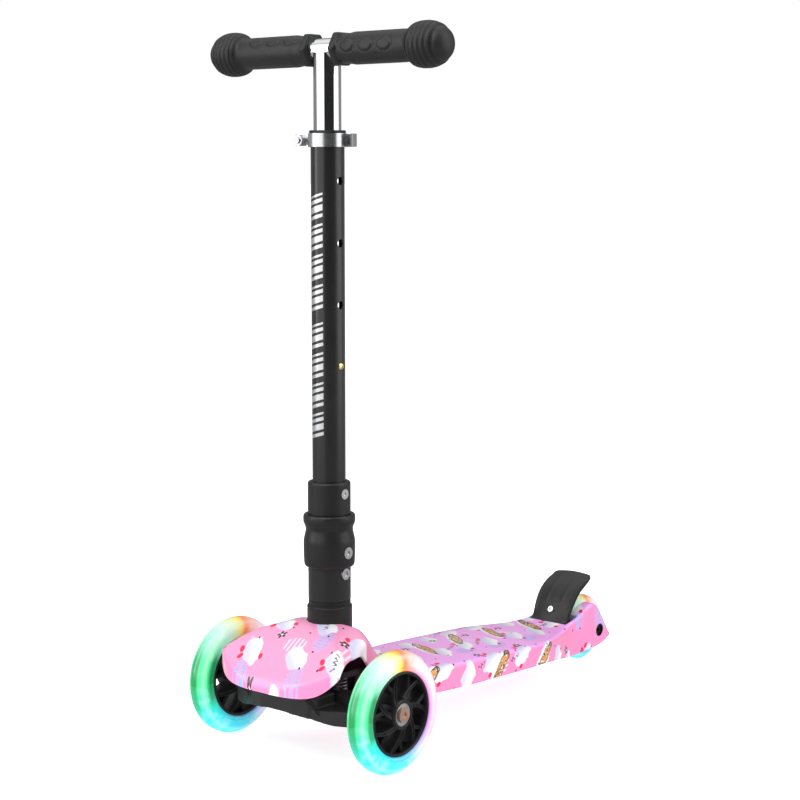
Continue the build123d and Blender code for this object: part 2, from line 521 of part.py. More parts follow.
def save_lever():
    z0, z1 = CLAMP_Z0 + 0.3, CLAMP_Z1 - 0.3
    band = ring(28.4, 25.0, (0, STEM_Y, z0), UP, z1 - z0)
    rear_half = block(-40, 40, STEM_Y + 6, STEM_Y + 40, z0 - 1, z1 + 1)
    hub = rod(6.8, (EAR_X, STEM_Y + LEVER_Y, z0), UP, z1 - z0)
    near_hub = block(-23, 60, STEM_Y, STEM_Y + 60, z0 - 1, z1 + 1)
    web = Pos(-24, STEM_Y + 18.5, (z0 + z1) / 2) * Rot(0, 0, 45) * Box(8, 6, z1 - z0)
    lever = (band & rear_half & near_hub) + web + hub
    lever -= rod(6.0, (EAR_X, STEM_Y + LEVER_Y, CLAMP_MID - 3.1), UP, 6.2)
    bolt_z0, bolt_z1 = CLAMP_MID - 3.4, CLAMP_MID + 3.4     # the bolt's shank passes as the lever opens
    lever -= block(EAR_X - 9, EAR_X + 3.4, STEM_Y, STEM_Y + LEVER_Y, bolt_z0, bolt_z1)
    lever -= block(EAR_X - 9, EAR_X, STEM_Y + LEVER_Y - 1, STEM_Y + LEVER_Y + 9, bolt_z0, bolt_z1)
    save("clamp_lever", lever - rod(2.55, (EAR_X, STEM_Y + LEVER_Y, z0 - 1), UP, z1 - z0 + 2))


# ---- Handlebar ------------------------------------------------------------------------------------
GRIP_FLANGE, GRIP_FLANGE_W = 31.0, 8.0     # six-sided inner flange, across its flats


def save_handlebar():
    bar = ring(BAR_R, BAR_R - 1.6, (-BAR_HALF, STEM_Y, BAR_Z), ACROSS, 2 * BAR_HALF)
    save("crossbar", bar)
    skin = [(14.6, GRIP_IN), (14.6, 33), (15.5, 38), (15.5, 98), (14.6, 104), (16.0, 110), (20.0, 117),
            (22.0, 125), (22.0, 131), (20.4, 138), (17.0, 144), (11.0, 149), (6.0, GRIP_END), (0, GRIP_END)]
    bore = [(0, BAR_HALF), (BAR_R, BAR_HALF), (BAR_R, GRIP_IN)]
    grip = [(r, x - GRIP_IN) for r, x in skin + bore]
    for side, way in SIDES.items():
        start = (way * GRIP_IN, STEM_Y, BAR_Z)
        flange = hexagon(GRIP_FLANGE, start, (way, 0, 0), GRIP_FLANGE_W) - rod(BAR_R, start, (way, 0, 0), 10)
        save(f"grip_{side}", turned(grip, start, (way, 0, 0)) + flange)


# ---- Brake ------------------------------------------------------------------------------------------
BRAKE_HALF = 26.0
FENDER_IN, FENDER_OUT = 62.5, 65.5
FENDER_TIP, FENDER_FOOT = 99, 158          # degrees round the rear axle, from straight back


def around_rear(radius, degrees):
    """Point in the side view, at an angle up from straight behind the rear axle."""
    angle = radians(degrees)
    return (WHEELBASE + radius * cos(angle), REAR_WHEEL_R + radius * sin(angle))


def shell_arc(inner, outer, start, end, half_width):
    """Part of a ring about the rear axle."""
    middle = (start + end) / 2
    inside = ThreePointArc(*[around_rear(inner, a) for a in (start, middle, end)])
    outside = ThreePointArc(*[around_rear(outer, a) for a in (start, middle, end)])
    ends = [Line(around_rear(inner, a), around_rear(outer, a)) for a in (start, end)]
    return from_side(make_face(inside + outside + ends[0] + ends[1]), half_width)


def save_brake():
    pivot = (aft(BRAKE_PIVOT_AFT), BRAKE_PIVOT_Z)
    fender = shell_arc(FENDER_IN, FENDER_OUT, FENDER_TIP, FENDER_FOOT, BRAKE_HALF)
    flange = shell_arc(FENDER_IN - 5, FENDER_OUT, FENDER_TIP + 6, FENDER_FOOT - 8, BRAKE_HALF)
    fender += flange - shell_arc(FENDER_IN - 6, FENDER_OUT, FENDER_TIP, FENDER_FOOT, BRAKE_HALF - 2.5)
    foot = [around_rear(FENDER_OUT, FENDER_FOOT), around_rear(FENDER_IN, FENDER_FOOT - 6),
            around_rear(FENDER_IN - 2, FENDER_FOOT), (414.5, 53), (412, 48), (403, 48), (403, 57)]
    fender += from_side(outline(foot), BRAKE_HALF)
    fender += rod(5, (-BRAKE_HALF + 0.4, *pivot), ACROSS, 2 * BRAKE_HALF - 0.8)
    fender -= block(-6, 6, pivot[0] - 4.7, pivot[0] + 6, pivot[1] - 7, pivot[1] + 6)
    fender -= rod(2.55, (-40, *pivot), ACROSS, 80)
    screw_dir = Vector(0, cos(radians(152)), sin(radians(152)))
    axle = Vector(0, REAR_Y, REAR_WHEEL_R)
    fender -= rod(SCREW_PILOT_R, axle + screw_dir * 50, screw_dir, 30)
    save("brake_fender", fender)

    pad = shell_arc(FENDER_IN - 1.6, FENDER_IN, 104, 151, 10)
    save("brake_pad", pad - rod(SCREW_PILOT_R, axle + screw_dir * 50, screw_dir, 30))
    seat = axle + screw_dir * FENDER_OUT
    save("brake_screw", socket_bolt(SCREW_R, 3.5, 2.0, seat, -screw_dir, 6, socket=1.5))
    save("brake_pin", rod(2.5, (-WING_HALF, *pivot), ACROSS, 2 * WING_HALF))
    save("brake_spring", coil(3.9, 0.6, (-5.4, *pivot), 10.8, 5, axis=ACROSS))


# ---- Everything ---------------------------------------------------------------------------------------
os.makedirs("parts", exist_ok=True)
save_wheels()
save_deck()
save_cover()
save_housing()
save_bridge()
save_hinge_lower()
save_hinge_upper()
save_sleeve()
save_tubes()
save_clamp()
save_lever()
save_handlebar()
save_brake()
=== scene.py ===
from functools import reduce
from math import cos, hypot, pi, radians, sin, sqrt

import bmesh
import bpy
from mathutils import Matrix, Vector


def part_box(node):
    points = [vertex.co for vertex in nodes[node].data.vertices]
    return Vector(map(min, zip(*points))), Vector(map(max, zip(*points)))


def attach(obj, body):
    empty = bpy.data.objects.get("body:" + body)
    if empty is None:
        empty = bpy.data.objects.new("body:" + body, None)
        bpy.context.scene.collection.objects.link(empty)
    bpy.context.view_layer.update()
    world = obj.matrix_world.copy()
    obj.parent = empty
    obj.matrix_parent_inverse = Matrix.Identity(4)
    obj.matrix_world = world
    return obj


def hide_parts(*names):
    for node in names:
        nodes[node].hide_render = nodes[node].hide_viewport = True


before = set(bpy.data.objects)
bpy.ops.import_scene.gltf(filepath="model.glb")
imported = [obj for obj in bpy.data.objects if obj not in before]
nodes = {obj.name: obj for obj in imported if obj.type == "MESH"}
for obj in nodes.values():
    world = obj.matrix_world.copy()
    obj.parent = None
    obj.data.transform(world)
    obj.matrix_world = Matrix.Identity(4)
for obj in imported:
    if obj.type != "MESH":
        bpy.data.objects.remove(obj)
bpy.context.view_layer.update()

# Kick scooter: the looks. Metres, in the CAD frame: front faces -Y, left is +X, ground is Z = 0.


# ---- Places read from the frame ----
def middle(node):
    low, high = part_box(node)
    return [(low[i] + high[i]) / 2 for i in range(3)]


MM = 0.001
WHEEL_L, WHEEL_R, WHEEL_B = (middle(n) for n in ("front_tyre_left", "front_tyre_right", "rear_tyre"))
FRONT_Y, FRONT_Z = WHEEL_L[1], WHEEL_L[2]
REAR_Y, REAR_Z = WHEEL_B[1], WHEEL_B[2]
STEM_Y = middle("outer_tube")[1]
BAR_Z = middle("crossbar")[2]
TUBE_R = (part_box("outer_tube")[1][0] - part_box("outer_tube")[0][0]) / 2
REAR_AFT = (REAR_Y - FRONT_Y) / MM           # mm from the front axle back to the rear one
DECK_SLOPE, DECK_EDGE_Y, DECK_EDGE_Z = -0.056, FRONT_Y + 0.114, 0.0682      # deck's edge falls to the rear


# ---- Mesh helpers ----
def new_object(name, verts, faces, sharp=35):
    mesh = bpy.data.meshes.new(name)
    mesh.from_pydata([tuple(v) for v in verts], [], faces)
    mesh.validate()
    obj = bpy.data.objects.new(name, mesh)
    bpy.context.collection.objects.link(obj)
    bm = bmesh.new()
    bm.from_mesh(mesh)
    bmesh.ops.remove_doubles(bm, verts=bm.verts, dist=1e-6)
    bmesh.ops.recalc_face_normals(bm, faces=bm.faces)
    bm.to_mesh(mesh)
    bm.free()
    smooth(obj, sharp)
    return obj


def smooth(obj, sharp=35):
    for polygon in obj.data.polygons:
        polygon.use_smooth = True
    obj.data.set_sharp_from_angle(angle=radians(sharp))


def apply_modifiers(obj, sharp=35):
    """Bake the object's modifiers into its mesh."""
    graph = bpy.context.evaluated_depsgraph_get()
    baked = bpy.data.meshes.new_from_object(obj.evaluated_get(graph))
    obj.modifiers.clear()
    obj.data = baked
    smooth(obj, sharp)


def bevel(obj, width, segments=2, angle=40):
    mod = obj.modifiers.new("bevel", "BEVEL")
    mod.width, mod.segments, mod.limit_method, mod.angle_limit = width, segments, "ANGLE", radians(angle)


def grid_faces(rows, cols, close_rows=False, close_cols=False):
    """Quads over a rows x cols grid of vertices stored row by row."""
    faces = []
    for i in range(rows if close_rows else rows - 1):
        for j in range(cols if close_cols else cols - 1):
            a, b = i * cols + j, i * cols + (j + 1) % cols
            c, d = ((i + 1) % rows) * cols + (j + 1) % cols, ((i + 1) % rows) * cols + j
            faces.append((a, b, c, d))
    return faces


def axis_frame(axis):
    """Two directions square to an axis: together they turn a circle about it."""
    axis = Vector(axis).normalized()
    first = Vector((0, 0, 1)) if abs(axis.z) < 0.9 else Vector((1, 0, 0))
    first = (first - axis * first.dot(axis)).normalized()
    return axis, first, axis.cross(first)


def rounded(points, radius, steps=4, closed=False):
    """Round the corners of a 2-D outline with short curves."""
    out, count = [], len(points)
    for i, point in enumerate(points):
        if not closed and i in (0, count - 1):
            out.append(tuple(point))
            continue
        p = Vector(point[:2])
        before, after = Vector(points[i - 1][:2]), Vector(points[(i + 1) % count][:2])
        r = point[2] if len(point) > 2 else radius
        a = p + (before - p).normalized() * min(r, (before - p).length * 0.48)
        b = p + (after - p).normalized() * min(r, (after - p).length * 0.48)
        for k in range(steps + 1):
            t = k / steps
            out.append(tuple(a * (1 - t) ** 2 + p * 2 * t * (1 - t) + b * t * t))
    return out


def lathe(name, profile, start, axis, segments=96, closed=False, sharp=35):
    """Turn (radius, distance along the axis) points, in mm, about an axis through start."""
    axis, u, v = axis_frame(axis)
    start, verts = Vector(start), []
    for k in range(segments):
        angle = 2 * pi * k / segments
        outward = u * cos(angle) + v * sin(angle)
        verts += [start + axis * (h * MM) + outward * (r * MM) for r, h in profile]
    faces = grid_faces(segments, len(profile), close_rows=True, close_cols=closed)
    return new_object(name, verts, faces, sharp)


def join(name, pieces, sharp=35):
    """Merge several objects into one mesh."""
    bm = bmesh.new()
    for piece in pieces:
        bm.from_mesh(piece.data)
        bpy.data.objects.remove(piece)
    mesh = bpy.data.meshes.new(name)
    bm.to_mesh(mesh)
    bm.free()
    obj = bpy.data.objects.new(name, mesh)
    bpy.context.collection.objects.link(obj)
    smooth(obj, sharp)
    return obj


def finish_piece(obj, body, material, slot, *replaced):
    obj.data.materials.clear()
    obj.data.materials.append(material)
    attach(obj, body)
    if replaced:
        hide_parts(*replaced)


def place(x, aft, z):
    """Metres, from mm across, behind the front axle, and up."""
    return Vector((x * MM, FRONT_Y + aft * MM, z * MM))


def read(curve, at):
    """Value of a polyline of (position, value) at a position."""
    for (a, low), (b, high) in zip(curve, curve[1:]):
        if at <= b:
            return low + (high - low) * max(0.0, at - a) / max(b - a, 1e-9)
    return curve[-1][1]


def step(low, high, value):
    """Smooth 0 to 1 ramp."""
    t = min(1.0, max(0.0, (value - low) / (high - low)))
    return t * t * (3 - 2 * t)


def prism(name, outline, low, high, point):
    """Extrude a closed 2-D outline; point(a, b, height) gives each corner's place."""
    count = len(outline)
    verts = [point(a, b, h) for h in (low, high) for a, b in outline]
    faces = [tuple(range(count))[::-1], tuple(range(count, 2 * count))]
    faces += [(i, (i + 1) % count, count + (i + 1) % count, count + i) for i in range(count)]
    return new_object(name, verts, faces)


def from_side(a, b, h):
    return place(h, a, b)


from_above = place


def from_front(a, b, h):
    return place(a, h, b)


def from_corner(way):
    """A slanting view, from the front and a little above, that shapes the cover's rear shoulders."""
    turn, drop = radians(40), radians(14.4)

    def point(a, b, h):
        across = cos(turn) * a + sin(turn) * cos(drop) * h - sin(turn) * sin(drop) * b
        back = sin(turn) * a - cos(turn) * cos(drop) * h + cos(turn) * sin(drop) * b
        return place(way * across, back, cos(drop) * b + sin(drop) * h)
    return point


def mirrored(half):
    return list(half) + [(-a, b) for a, b in reversed(half)]


def loft(name, sections, sharp=35):
    """Skin closed sections that all have the same number of points, and cap the ends."""
    count = len(sections[0])
    verts = [p for section in sections for p in section]
    faces = grid_faces(len(sections), count, close_cols=True)
    last = (len(sections) - 1) * count
    faces += [tuple(range(count))[::-1], tuple(range(last, last + count))]
    return new_object(name, verts, faces, sharp)


def carve(obj, *tools, operation="DIFFERENCE", sharp=35):
    """Cut tools out of an object (or join or intersect them) and remove the tools."""
    for tool in tools:
        mod = obj.modifiers.new("carve", "BOOLEAN")
        mod.operation, mod.object, mod.solver = operation, tool, "EXACT"
        mod.material_mode = "TRANSFER"
    apply_modifiers(obj, sharp)
    for tool in tools:
        bpy.data.objects.remove(tool)


def moulded(obj, voxel, rounds, sharp=80):
    """Re-skin a solid with even quads and soften its edges, as a moulding has them."""
    skin = obj.modifiers.new("skin", "REMESH")
    skin.mode, skin.voxel_size = "VOXEL", voxel * MM
    soften = obj.modifiers.new("soften", "SMOOTH")
    soften.factor, soften.iterations = 0.5, rounds
    apply_modifiers(obj, sharp)


def copy_of(node, name):
    obj = nodes[node].copy()
    obj.data = nodes[node].data.copy()
    obj.name, obj.parent = name, None
    for key in list(obj.keys()):
        del obj[key]
    bpy.context.collection.objects.link(obj)
    return obj


# ---- Material helpers ----
class Shader:
    """A material's node tree, with short ways to add to it."""

    def __init__(self, name, **values):
        self.material = bpy.data.materials.new(name)
        self.material.use_nodes = True
        self.tree = self.material.node_tree
        self.surface = self.tree.nodes["Principled BSDF"]
        self.set(**values)

    def set(self, **values):
        """Put numbers, colours or other nodes' outputs on the surface's sockets."""
        for key, value in values.items():
            self.feed(self.surface.inputs[key.replace("_", " ").title().replace("Ior", "IOR")], value)

    def feed(self, socket, value):
        if isinstance(value, bpy.types.NodeSocket):
            self.tree.links.new(value, socket)
        elif isinstance(value, (tuple, list)) and len(value) == 3 and socket.type == "RGBA":
            socket.default_value = (*value, 1.0)
        else:
            socket.default_value = value

    def add(self, kind, inputs=(), **settings):
        node = self.tree.nodes.new("ShaderNode" + kind)
        for key, value in settings.items():
            setattr(node, key, value)
        for index, value in enumerate(inputs):
            if value is not None:
                self.feed(node.inputs[index], value)
        return node

    def math(self, operation, *values):
        return self.add("Math", values, operation=operation).outputs[0]

    def plus(self, a, b):
        return self.math("ADD", a, b)

    def minus(self, a, b):
        return self.math("SUBTRACT", a, b)

    def times(self, a, b):
        return self.math("MULTIPLY", a, b)

    def over(self, a, b):
        return self.math("DIVIDE", a, b)

    def length(self, a, b):
        """Distance from the origin to (a, b)."""
        return self.math("SQRT", self.plus(self.math("POWER", a, 2.0), self.math("POWER", b, 2.0)))

    def vector(self, operation, *values):
        return self.add("VectorMath", values, operation=operation).outputs[0]

    def place(self):
        """Object coordinates: metres in the CAD frame, fixed to the piece."""
        return self.add("TexCoord").outputs["Object"]

    def split(self, vector):
        return self.add("SeparateXYZ", [vector]).outputs[:3]

    def point(self, x, y=0.0, z=0.0):
        return self.add("CombineXYZ", [x, y, z]).outputs[0]

    def noise(self, scale, detail=2.0, at=None):
        node = self.add("TexNoise")
        self.feed(node.inputs["Vector"], at or self.place())
        node.inputs["Scale"].default_value, node.inputs["Detail"].default_value = scale, detail
        return node.outputs["Fac"]

    def voronoi(self, scale, at=None, feature="F1", output="Distance"):
        node = self.add("TexVoronoi", feature=feature)
        self.feed(node.inputs["Vector"], at or self.place())
        node.inputs["Scale"].default_value = scale
        return node.outputs[output]

    def between(self, value, low, high):
        """1 above high, 0 below low, straight between (low may be the larger)."""
        return self.add("MapRange", [value, low, high, 0.0, 1.0], clamp=True).outputs[0]

    def mix(self, factor, a, b):
        node = self.add("Mix", data_type="RGBA")
        self.feed(node.inputs[0], factor)
        self.feed(node.inputs[6], a)
        self.feed(node.inputs[7], b)
        return node.outputs[2]

    def ramp(self, factor, stops):
        """Colours along 0 to 1: each stop is its place and 0-255 screen values."""
        node = self.add("ValToRGB", [factor])
        band = node.color_ramp
        while len(band.elements) < len(stops):
            band.elements.new(0.5)
        for element, (where, *colour) in zip(band.elements, stops):
            element.position, element.color = where, (*srgb(*colour), 1.0)
        return node.outputs[0]

    def bump(self, height, distance, strength=0.5):
        node = self.add("Bump")
        node.inputs["Strength"].default_value = strength
        node.inputs["Distance"].default_value = distance
        self.feed(node.inputs["Height"], height)
        self.feed(self.surface.inputs["Normal"], node.outputs[0])


def srgb(red, green, blue):
    """Linear colour from 0-255 screen values."""
    return tuple(c / 12.92 if c <= 0.04045 else ((c + 0.055) / 1.055) ** 2.4
                 for c in (red / 255, green / 255, blue / 255))


# ---- Materials ----
def plain_plastic(name, shade, roughness, grain_mm, grain_depth):
    """Moulded black plastic or rubber: a fine grain and slightly uneven gloss."""
    s = Shader(name, specular_ior_level=0.35)
    cloud = s.noise(45.0, 3.0)
    s.set(base_color=s.mix(cloud, tuple(0.8 * c for c in shade), tuple(1.25 * c for c in shade)))
    s.set(roughness=s.plus(s.times(cloud, 0.12), roughness - 0.06))
    s.bump(s.noise(1000.0 / grain_mm, 2.0), grain_depth * MM, 0.6)
    return s.material


def metal(name, colour, roughness, brushed=0.0, across=(1.0, 1.0, 1.0)):
    """Bare or plated metal; brushed gives fine lines."""
    s = Shader(name, metallic=1.0)
    cloud = s.noise(60.0, 4.0)
    s.set(base_color=s.mix(cloud, tuple(0.9 * c for c in colour), colour))
    lines = s.noise(900.0, 2.0, at=s.vector("MULTIPLY", s.place(), across))
    wear = s.plus(s.times(cloud, 0.3), s.times(lines, 0.7))
    s.set(roughness=s.plus(s.times(wear, brushed + 0.03), roughness - 0.015))
    s.bump(lines, 0.02 * MM, 0.15 + brushed)
    return s.material


def powder_coat():
    """Satin black powder coat with a faint orange peel."""
    s = Shader("black_coat", specular_ior_level=0.5)
    cloud = s.noise(25.0, 2.0)
    s.set(base_color=s.mix(cloud, (0.008, 0.008, 0.009), (0.013, 0.013, 0.014)))
    s.set(roughness=s.plus(s.times(cloud, 0.08), 0.22))
    s.bump(s.noise(900.0, 1.0), 0.04 * MM, 0.35)
    return s.material


def tyre_material(name, centre, radius):
    """Milky translucent tyre lit from inside: the light's colour changes round the wheel. Painted shade
    darkens it near the core, on the tread at the front and on the front flank; a painted highlight lightens
    the outer shoulders.
    """
    s = Shader(name, roughness=0.22, coat_weight=0.5, coat_roughness=0.06, specular_ior_level=0.5)
    x, y, z = s.split(s.vector("SUBTRACT", s.place(), tuple(centre)))
    turn = s.math("ARCTAN2", z, s.times(y, -1.0))
    wobble = s.times(s.minus(s.noise(40.0, 2.0), 0.5), 0.05)
    turn = s.math("FRACT", s.plus(s.plus(s.over(turn, 2 * pi), wobble), 1.0))
    colour = s.ramp(turn, [
        (0.00, 70, 240, 150), (0.07, 95, 240, 165), (0.13, 160, 248, 205), (0.18, 205, 250, 228),
        (0.215, 222, 246, 190), (0.240, 240, 225, 90), (0.262, 250, 128, 80), (0.292, 251, 190, 170),
        (0.33, 253, 226, 240), (0.46, 252, 218, 247), (0.58, 243, 200, 246), (0.66, 214, 222, 250),
        (0.73, 90, 215, 235), (0.82, 40, 232, 248), (0.88, 24, 238, 243), (0.94, 50, 238, 190),
        (1.00, 70, 240, 150)])
    # Painted shade: darker, deeper colours round the wheel, standing in for the dark core seen through the
    # tyre.
    deep = s.ramp(turn, [
        (0.00, 14, 128, 62), (0.08, 36, 142, 92), (0.14, 95, 185, 160), (0.18, 150, 235, 180),
        (0.24, 230, 200, 60), (0.27, 250, 120, 70), (0.35, 245, 110, 190), (0.50, 200, 40, 190),
        (0.62, 150, 120, 230), (0.72, 60, 150, 205), (0.84, 40, 190, 215), (0.94, 20, 160, 120),
        (1.00, 30, 150, 80)])
    pale = s.ramp(turn, [
        (0.0, 185, 255, 220), (0.3, 255, 240, 225), (0.5, 255, 235, 252), (0.8, 175, 248, 255),
        (1.0, 185, 255, 220)])
    r = s.length(y, z)
    side = s.math("ABSOLUTE", x)
    # Where the painted shade goes: near the core, on the tread at the front, and on the flank ahead.
    core = s.between(r, radius - 13.5 * MM, radius - 19.0 * MM)
    tread = s.times(s.between(side, 6.5 * MM, 3.0 * MM), s.between(r, radius - 6 * MM, radius - 3 * MM))
    front = s.math("MAXIMUM", s.between(turn, 0.16, 0.06), s.between(turn, 0.88, 0.95))
    front = s.plus(s.times(front, 0.72), 0.18)
    ahead = s.math("MAXIMUM", s.between(turn, 0.15, 0.08), s.between(turn, 0.91, 0.95))
    flank = s.times(s.between(r, radius - 8 * MM, radius - 12 * MM), s.times(ahead, 0.9))
    shade = s.math("MAXIMUM", s.times(core, 0.85), s.times(tread, front))
    shade = s.math("MAXIMUM", shade, flank)
    round_y = s.times(s.over(y, r), 0.3)
    round_z = s.times(s.over(z, r), 0.3)
    layers = s.plus(s.times(x, 7.0), s.times(r, 9.0))
    streak = s.between(s.noise(14.0, 2.0, at=s.point(round_y, round_z, layers)), 0.5, 0.68)
    # Painted highlight: the outer shoulders of the crown are lightened towards the pale colours.
    rim = s.between(r, radius - 8 * MM, radius - 5 * MM)
    glow = s.mix(s.times(streak, 0.4), colour, pale)
    glow = s.mix(s.times(s.times(rim, s.between(side, 7 * MM, 9.5 * MM)), 0.45), glow, pale)
    glow = s.mix(shade, glow, deep)
    s.set(base_color=glow, emission_color=glow, emission_strength=0.16)
    return s.material


def print_material():
    """Glossy pink plastic with an all-over dipped print, laid on from above: shapes wrap down the sides.
    Upward-facing surfaces get a painted sheen.
    """
    s = Shader("pink_dip_print", roughness=0.24, coat_weight=0.28, coat_roughness=0.05,
               specular_ior_level=0.5)
    x, y, z = s.split(s.place())
    edge = s.plus(s.times(y, DECK_SLOPE), DECK_EDGE_Z - DECK_SLOPE * DECK_EDGE_Y - 0.002)
    below = s.times(s.math("MAXIMUM", s.minus(edge, z), 0.0), s.math("SIGN", x))
    flat = s.point(s.plus(x, below), y)
    # Painted sheen from above: faces that look up are painted a lighter, more lavender pink than the sides, a
    # little less lavender on the cover ahead of the deck's edge.
    facing_up = s.split(s.add("TexCoord").outputs["Normal"])[2]
    nose = s.between(y, DECK_EDGE_Y + 0.001, DECK_EDGE_Y - 0.001)
    top = s.mix(nose, srgb(255, 178, 252), srgb(250, 160, 203))
    colour = s.mix(s.between(facing_up, 0.3, 0.8), srgb(248, 141, 194), top)
    for layer in PRINT_LAYERS:
        colour = layer(s, flat, colour)
    s.set(base_color=colour)
    s.bump(s.noise(260.0, 1.0), 0.03 * MM, 0.15)
    return s.material


def scattered(s, flat, cell, offset, turn, rare):
    """For each cell of a grid: mm about a jittered point, whether it's used, and a random number."""
    scale = (1 / (cell[0] * MM), 1 / (cell[1] * MM), 0)
    grid = s.vector("ADD", s.vector("MULTIPLY", flat, scale), (*offset, 0))
    corner = s.vector("FLOOR", grid)
    chance = s.add("TexWhiteNoise", [corner], noise_dimensions="3D").outputs
    random = chance["Value"]
    jitter = s.vector("SUBTRACT", chance["Color"], (0.5, 0.5, 0.5))
    local = s.vector("SUBTRACT", s.vector("SUBTRACT", grid, corner), (0.5, 0.5, 0.0))
    local = s.vector("MULTIPLY", local, (cell[0], cell[1], 0))
    local = s.vector("ADD", local, s.vector("MULTIPLY", jitter, (cell[0] * 0.3, cell[1] * 0.3, 0)))
    spin = s.add("VectorRotate", rotation_type="Z_AXIS")
    s.feed(spin.inputs["Vector"], local)
    s.feed(spin.inputs["Angle"], s.plus(s.times(random, 0.9), turn))
    a, b, _ = s.split(spin.outputs[0])
    return a, b, s.between(random, rare, rare + 0.02), random


def ellipse(s, a, b, half_a, half_b, at=(0.0, 0.0)):
    """Less than 1 inside an ellipse."""
    u = s.over(s.minus(a, at[0]), half_a)
    v = s.over(s.minus(b, at[1]), half_b)
    return s.length(u, v)


def inside(s, distance, edge=1.0, soft=0.06):
    return s.between(distance, edge + soft, edge - soft)


def both(s, *masks):
    return reduce(s.times, masks)


def white_clouds(s, flat, colour):
    """White uneven shapes, lavender below, with red petals beside them."""
    a, b, present, _ = scattered(s, flat, (50.0, 44.0), (0.2, 0.35), 0.35, 0.32)
    ripple = s.times(s.minus(s.noise(85.0, 1.0, at=flat), 0.5), 1.1)
    blob = s.plus(ellipse(s, a, b, 16.5, 9.5), ripple)
    tone = s.mix(s.between(b, 5.0, -5.0), srgb(255, 253, 255), srgb(216, 214, 244))
    colour = s.mix(inside(s, blob), colour, tone)
    for at, size in (((-7.5, -11.0), (4.0, 2.5)), ((0.0, -12.5), (2.4, 3.4)), ((12.0, 8.5), (3.4, 2.2))):
        petal = both(s, inside(s, ellipse(s, a, b, *size, at), 1.0, 0.12), present)
        colour = s.mix(petal, colour, srgb(236, 16, 74))
    return colour


def gold_patches(s, flat, colour):
    """Long gold patches with cream flecks and an uneven dark outline on white."""
    a, b, present, _ = scattered(s, flat, (88.0, 66.0), (0.62, 0.15), 0.15, 0.22)
    on_deck = s.between(s.split(flat)[1], DECK_EDGE_Y, DECK_EDGE_Y + 0.004)
    present = s.times(present, on_deck)
    ripple = s.times(s.minus(s.noise(70.0, 1.0, at=flat), 0.5), 1.0)
    body = s.plus(ellipse(s, a, b, 25.0, 5.2), ripple)
    white = both(s, inside(s, ellipse(s, a, b, 28.0, 7.5, (2, -2))), present)
    colour = s.mix(white, colour, srgb(254, 248, 255))
    colour = s.mix(both(s, inside(s, body, 1.13, 0.05), present), colour, srgb(52, 40, 42))
    cell = s.split(s.voronoi(270.0, at=flat, output="Color"))[0]
    rings = s.between(s.voronoi(270.0, at=flat, feature="DISTANCE_TO_EDGE"), 0.13, 0.06)
    gold = s.mix(s.between(cell, 0.5, 0.55), srgb(228, 158, 84), srgb(248, 226, 184))
    gold = s.mix(both(s, rings, s.between(cell, 0.25, 0.3)), gold, srgb(96, 58, 40))
    return s.mix(both(s, inside(s, body, 0.97, 0.05), present), colour, gold)


def blue_scribbles(s, flat, colour):
    """Loose light-blue pen strokes."""
    a, b, present, _ = scattered(s, flat, (68.0, 54.0), (0.05, 0.7), 0.9, 0.3)
    bend = s.times(s.math("SINE", s.times(b, 0.45)), 2.4)
    wave = s.plus(s.times(a, 0.75), bend)
    stroke = s.between(s.math("ABSOLUTE", s.math("SINE", wave)), 0.60, 0.74)
    area = inside(s, ellipse(s, a, b, 15.0, 9.0), 1.0, 0.1)
    return s.mix(both(s, stroke, area, present), colour, srgb(158, 184, 246))


def pale_stripes(s, flat, colour):
    """Short groups of white and lavender stripes."""
    a, b, present, random = scattered(s, flat, (64.0, 67.0), (0.45, 0.05), -0.5, 0.25)
    stripe = s.between(s.math("SINE", s.times(a, 1.25)), 0.1, 0.35)
    area = inside(s, ellipse(s, a, b, 13.0, 9.0), 1.0, 0.05)
    tone = s.mix(s.between(random, 0.6, 0.62), srgb(255, 232, 252), srgb(205, 208, 246))
    return s.mix(s.times(both(s, stripe, area, present), 0.85), colour, tone)


def black_flowers(s, flat, colour):
    """Small five-petalled black flowers with a white middle."""
    a, b, present, _ = scattered(s, flat, (72.0, 57.0), (0.8, 0.55), 0.0, 0.20)
    angle = s.math("ARCTAN2", b, a)
    petal = s.math("ABSOLUTE", s.math("COSINE", s.times(angle, 2.5)))
    petal = s.plus(s.times(petal, 3.9), 1.5)
    far = s.length(a, b)
    shape = s.over(far, petal)
    colour = s.mix(both(s, inside(s, shape, 1.0, 0.08), present), colour, srgb(24, 18, 30))
    eye = both(s, inside(s, ellipse(s, a, b, 1.3, 1.3), 1.0, 0.2), present)
    return s.mix(eye, colour, srgb(255, 250, 255))


def dark_dashes(s, flat, colour):
    """Dark pen ticks."""
    a, b, present, _ = scattered(s, flat, (56.0, 47.0), (0.3, 0.85), 0.6, 0.35)
    zigzag = s.times(s.math("PINGPONG", a, 2.6), 1.5)
    tick = s.between(s.math("ABSOLUTE", s.minus(b, zigzag)), 1.2, 0.8)
    area = inside(s, ellipse(s, a, b, 11.0, 5.5), 1.0, 0.05)
    gap = s.between(s.noise(150.0, 0.0, at=flat), 0.42, 0.46)
    return s.mix(both(s, tick, area, gap, present), colour, srgb(58, 36, 66))


def dark_specks(s, flat, colour):
    """Single small dark marks."""
    a, b, present, _ = scattered(s, flat, (24.0, 21.0), (0.1, 0.4), 0.2, 0.5)
    mark = both(s, inside(s, ellipse(s, a, b, 1.5, 1.0), 1.0, 0.15), present)
    return s.mix(mark, colour, srgb(48, 36, 56))


PRINT_LAYERS = (pale_stripes, blue_scribbles, white_clouds, gold_patches, dark_dashes, dark_specks,
                black_flowers)


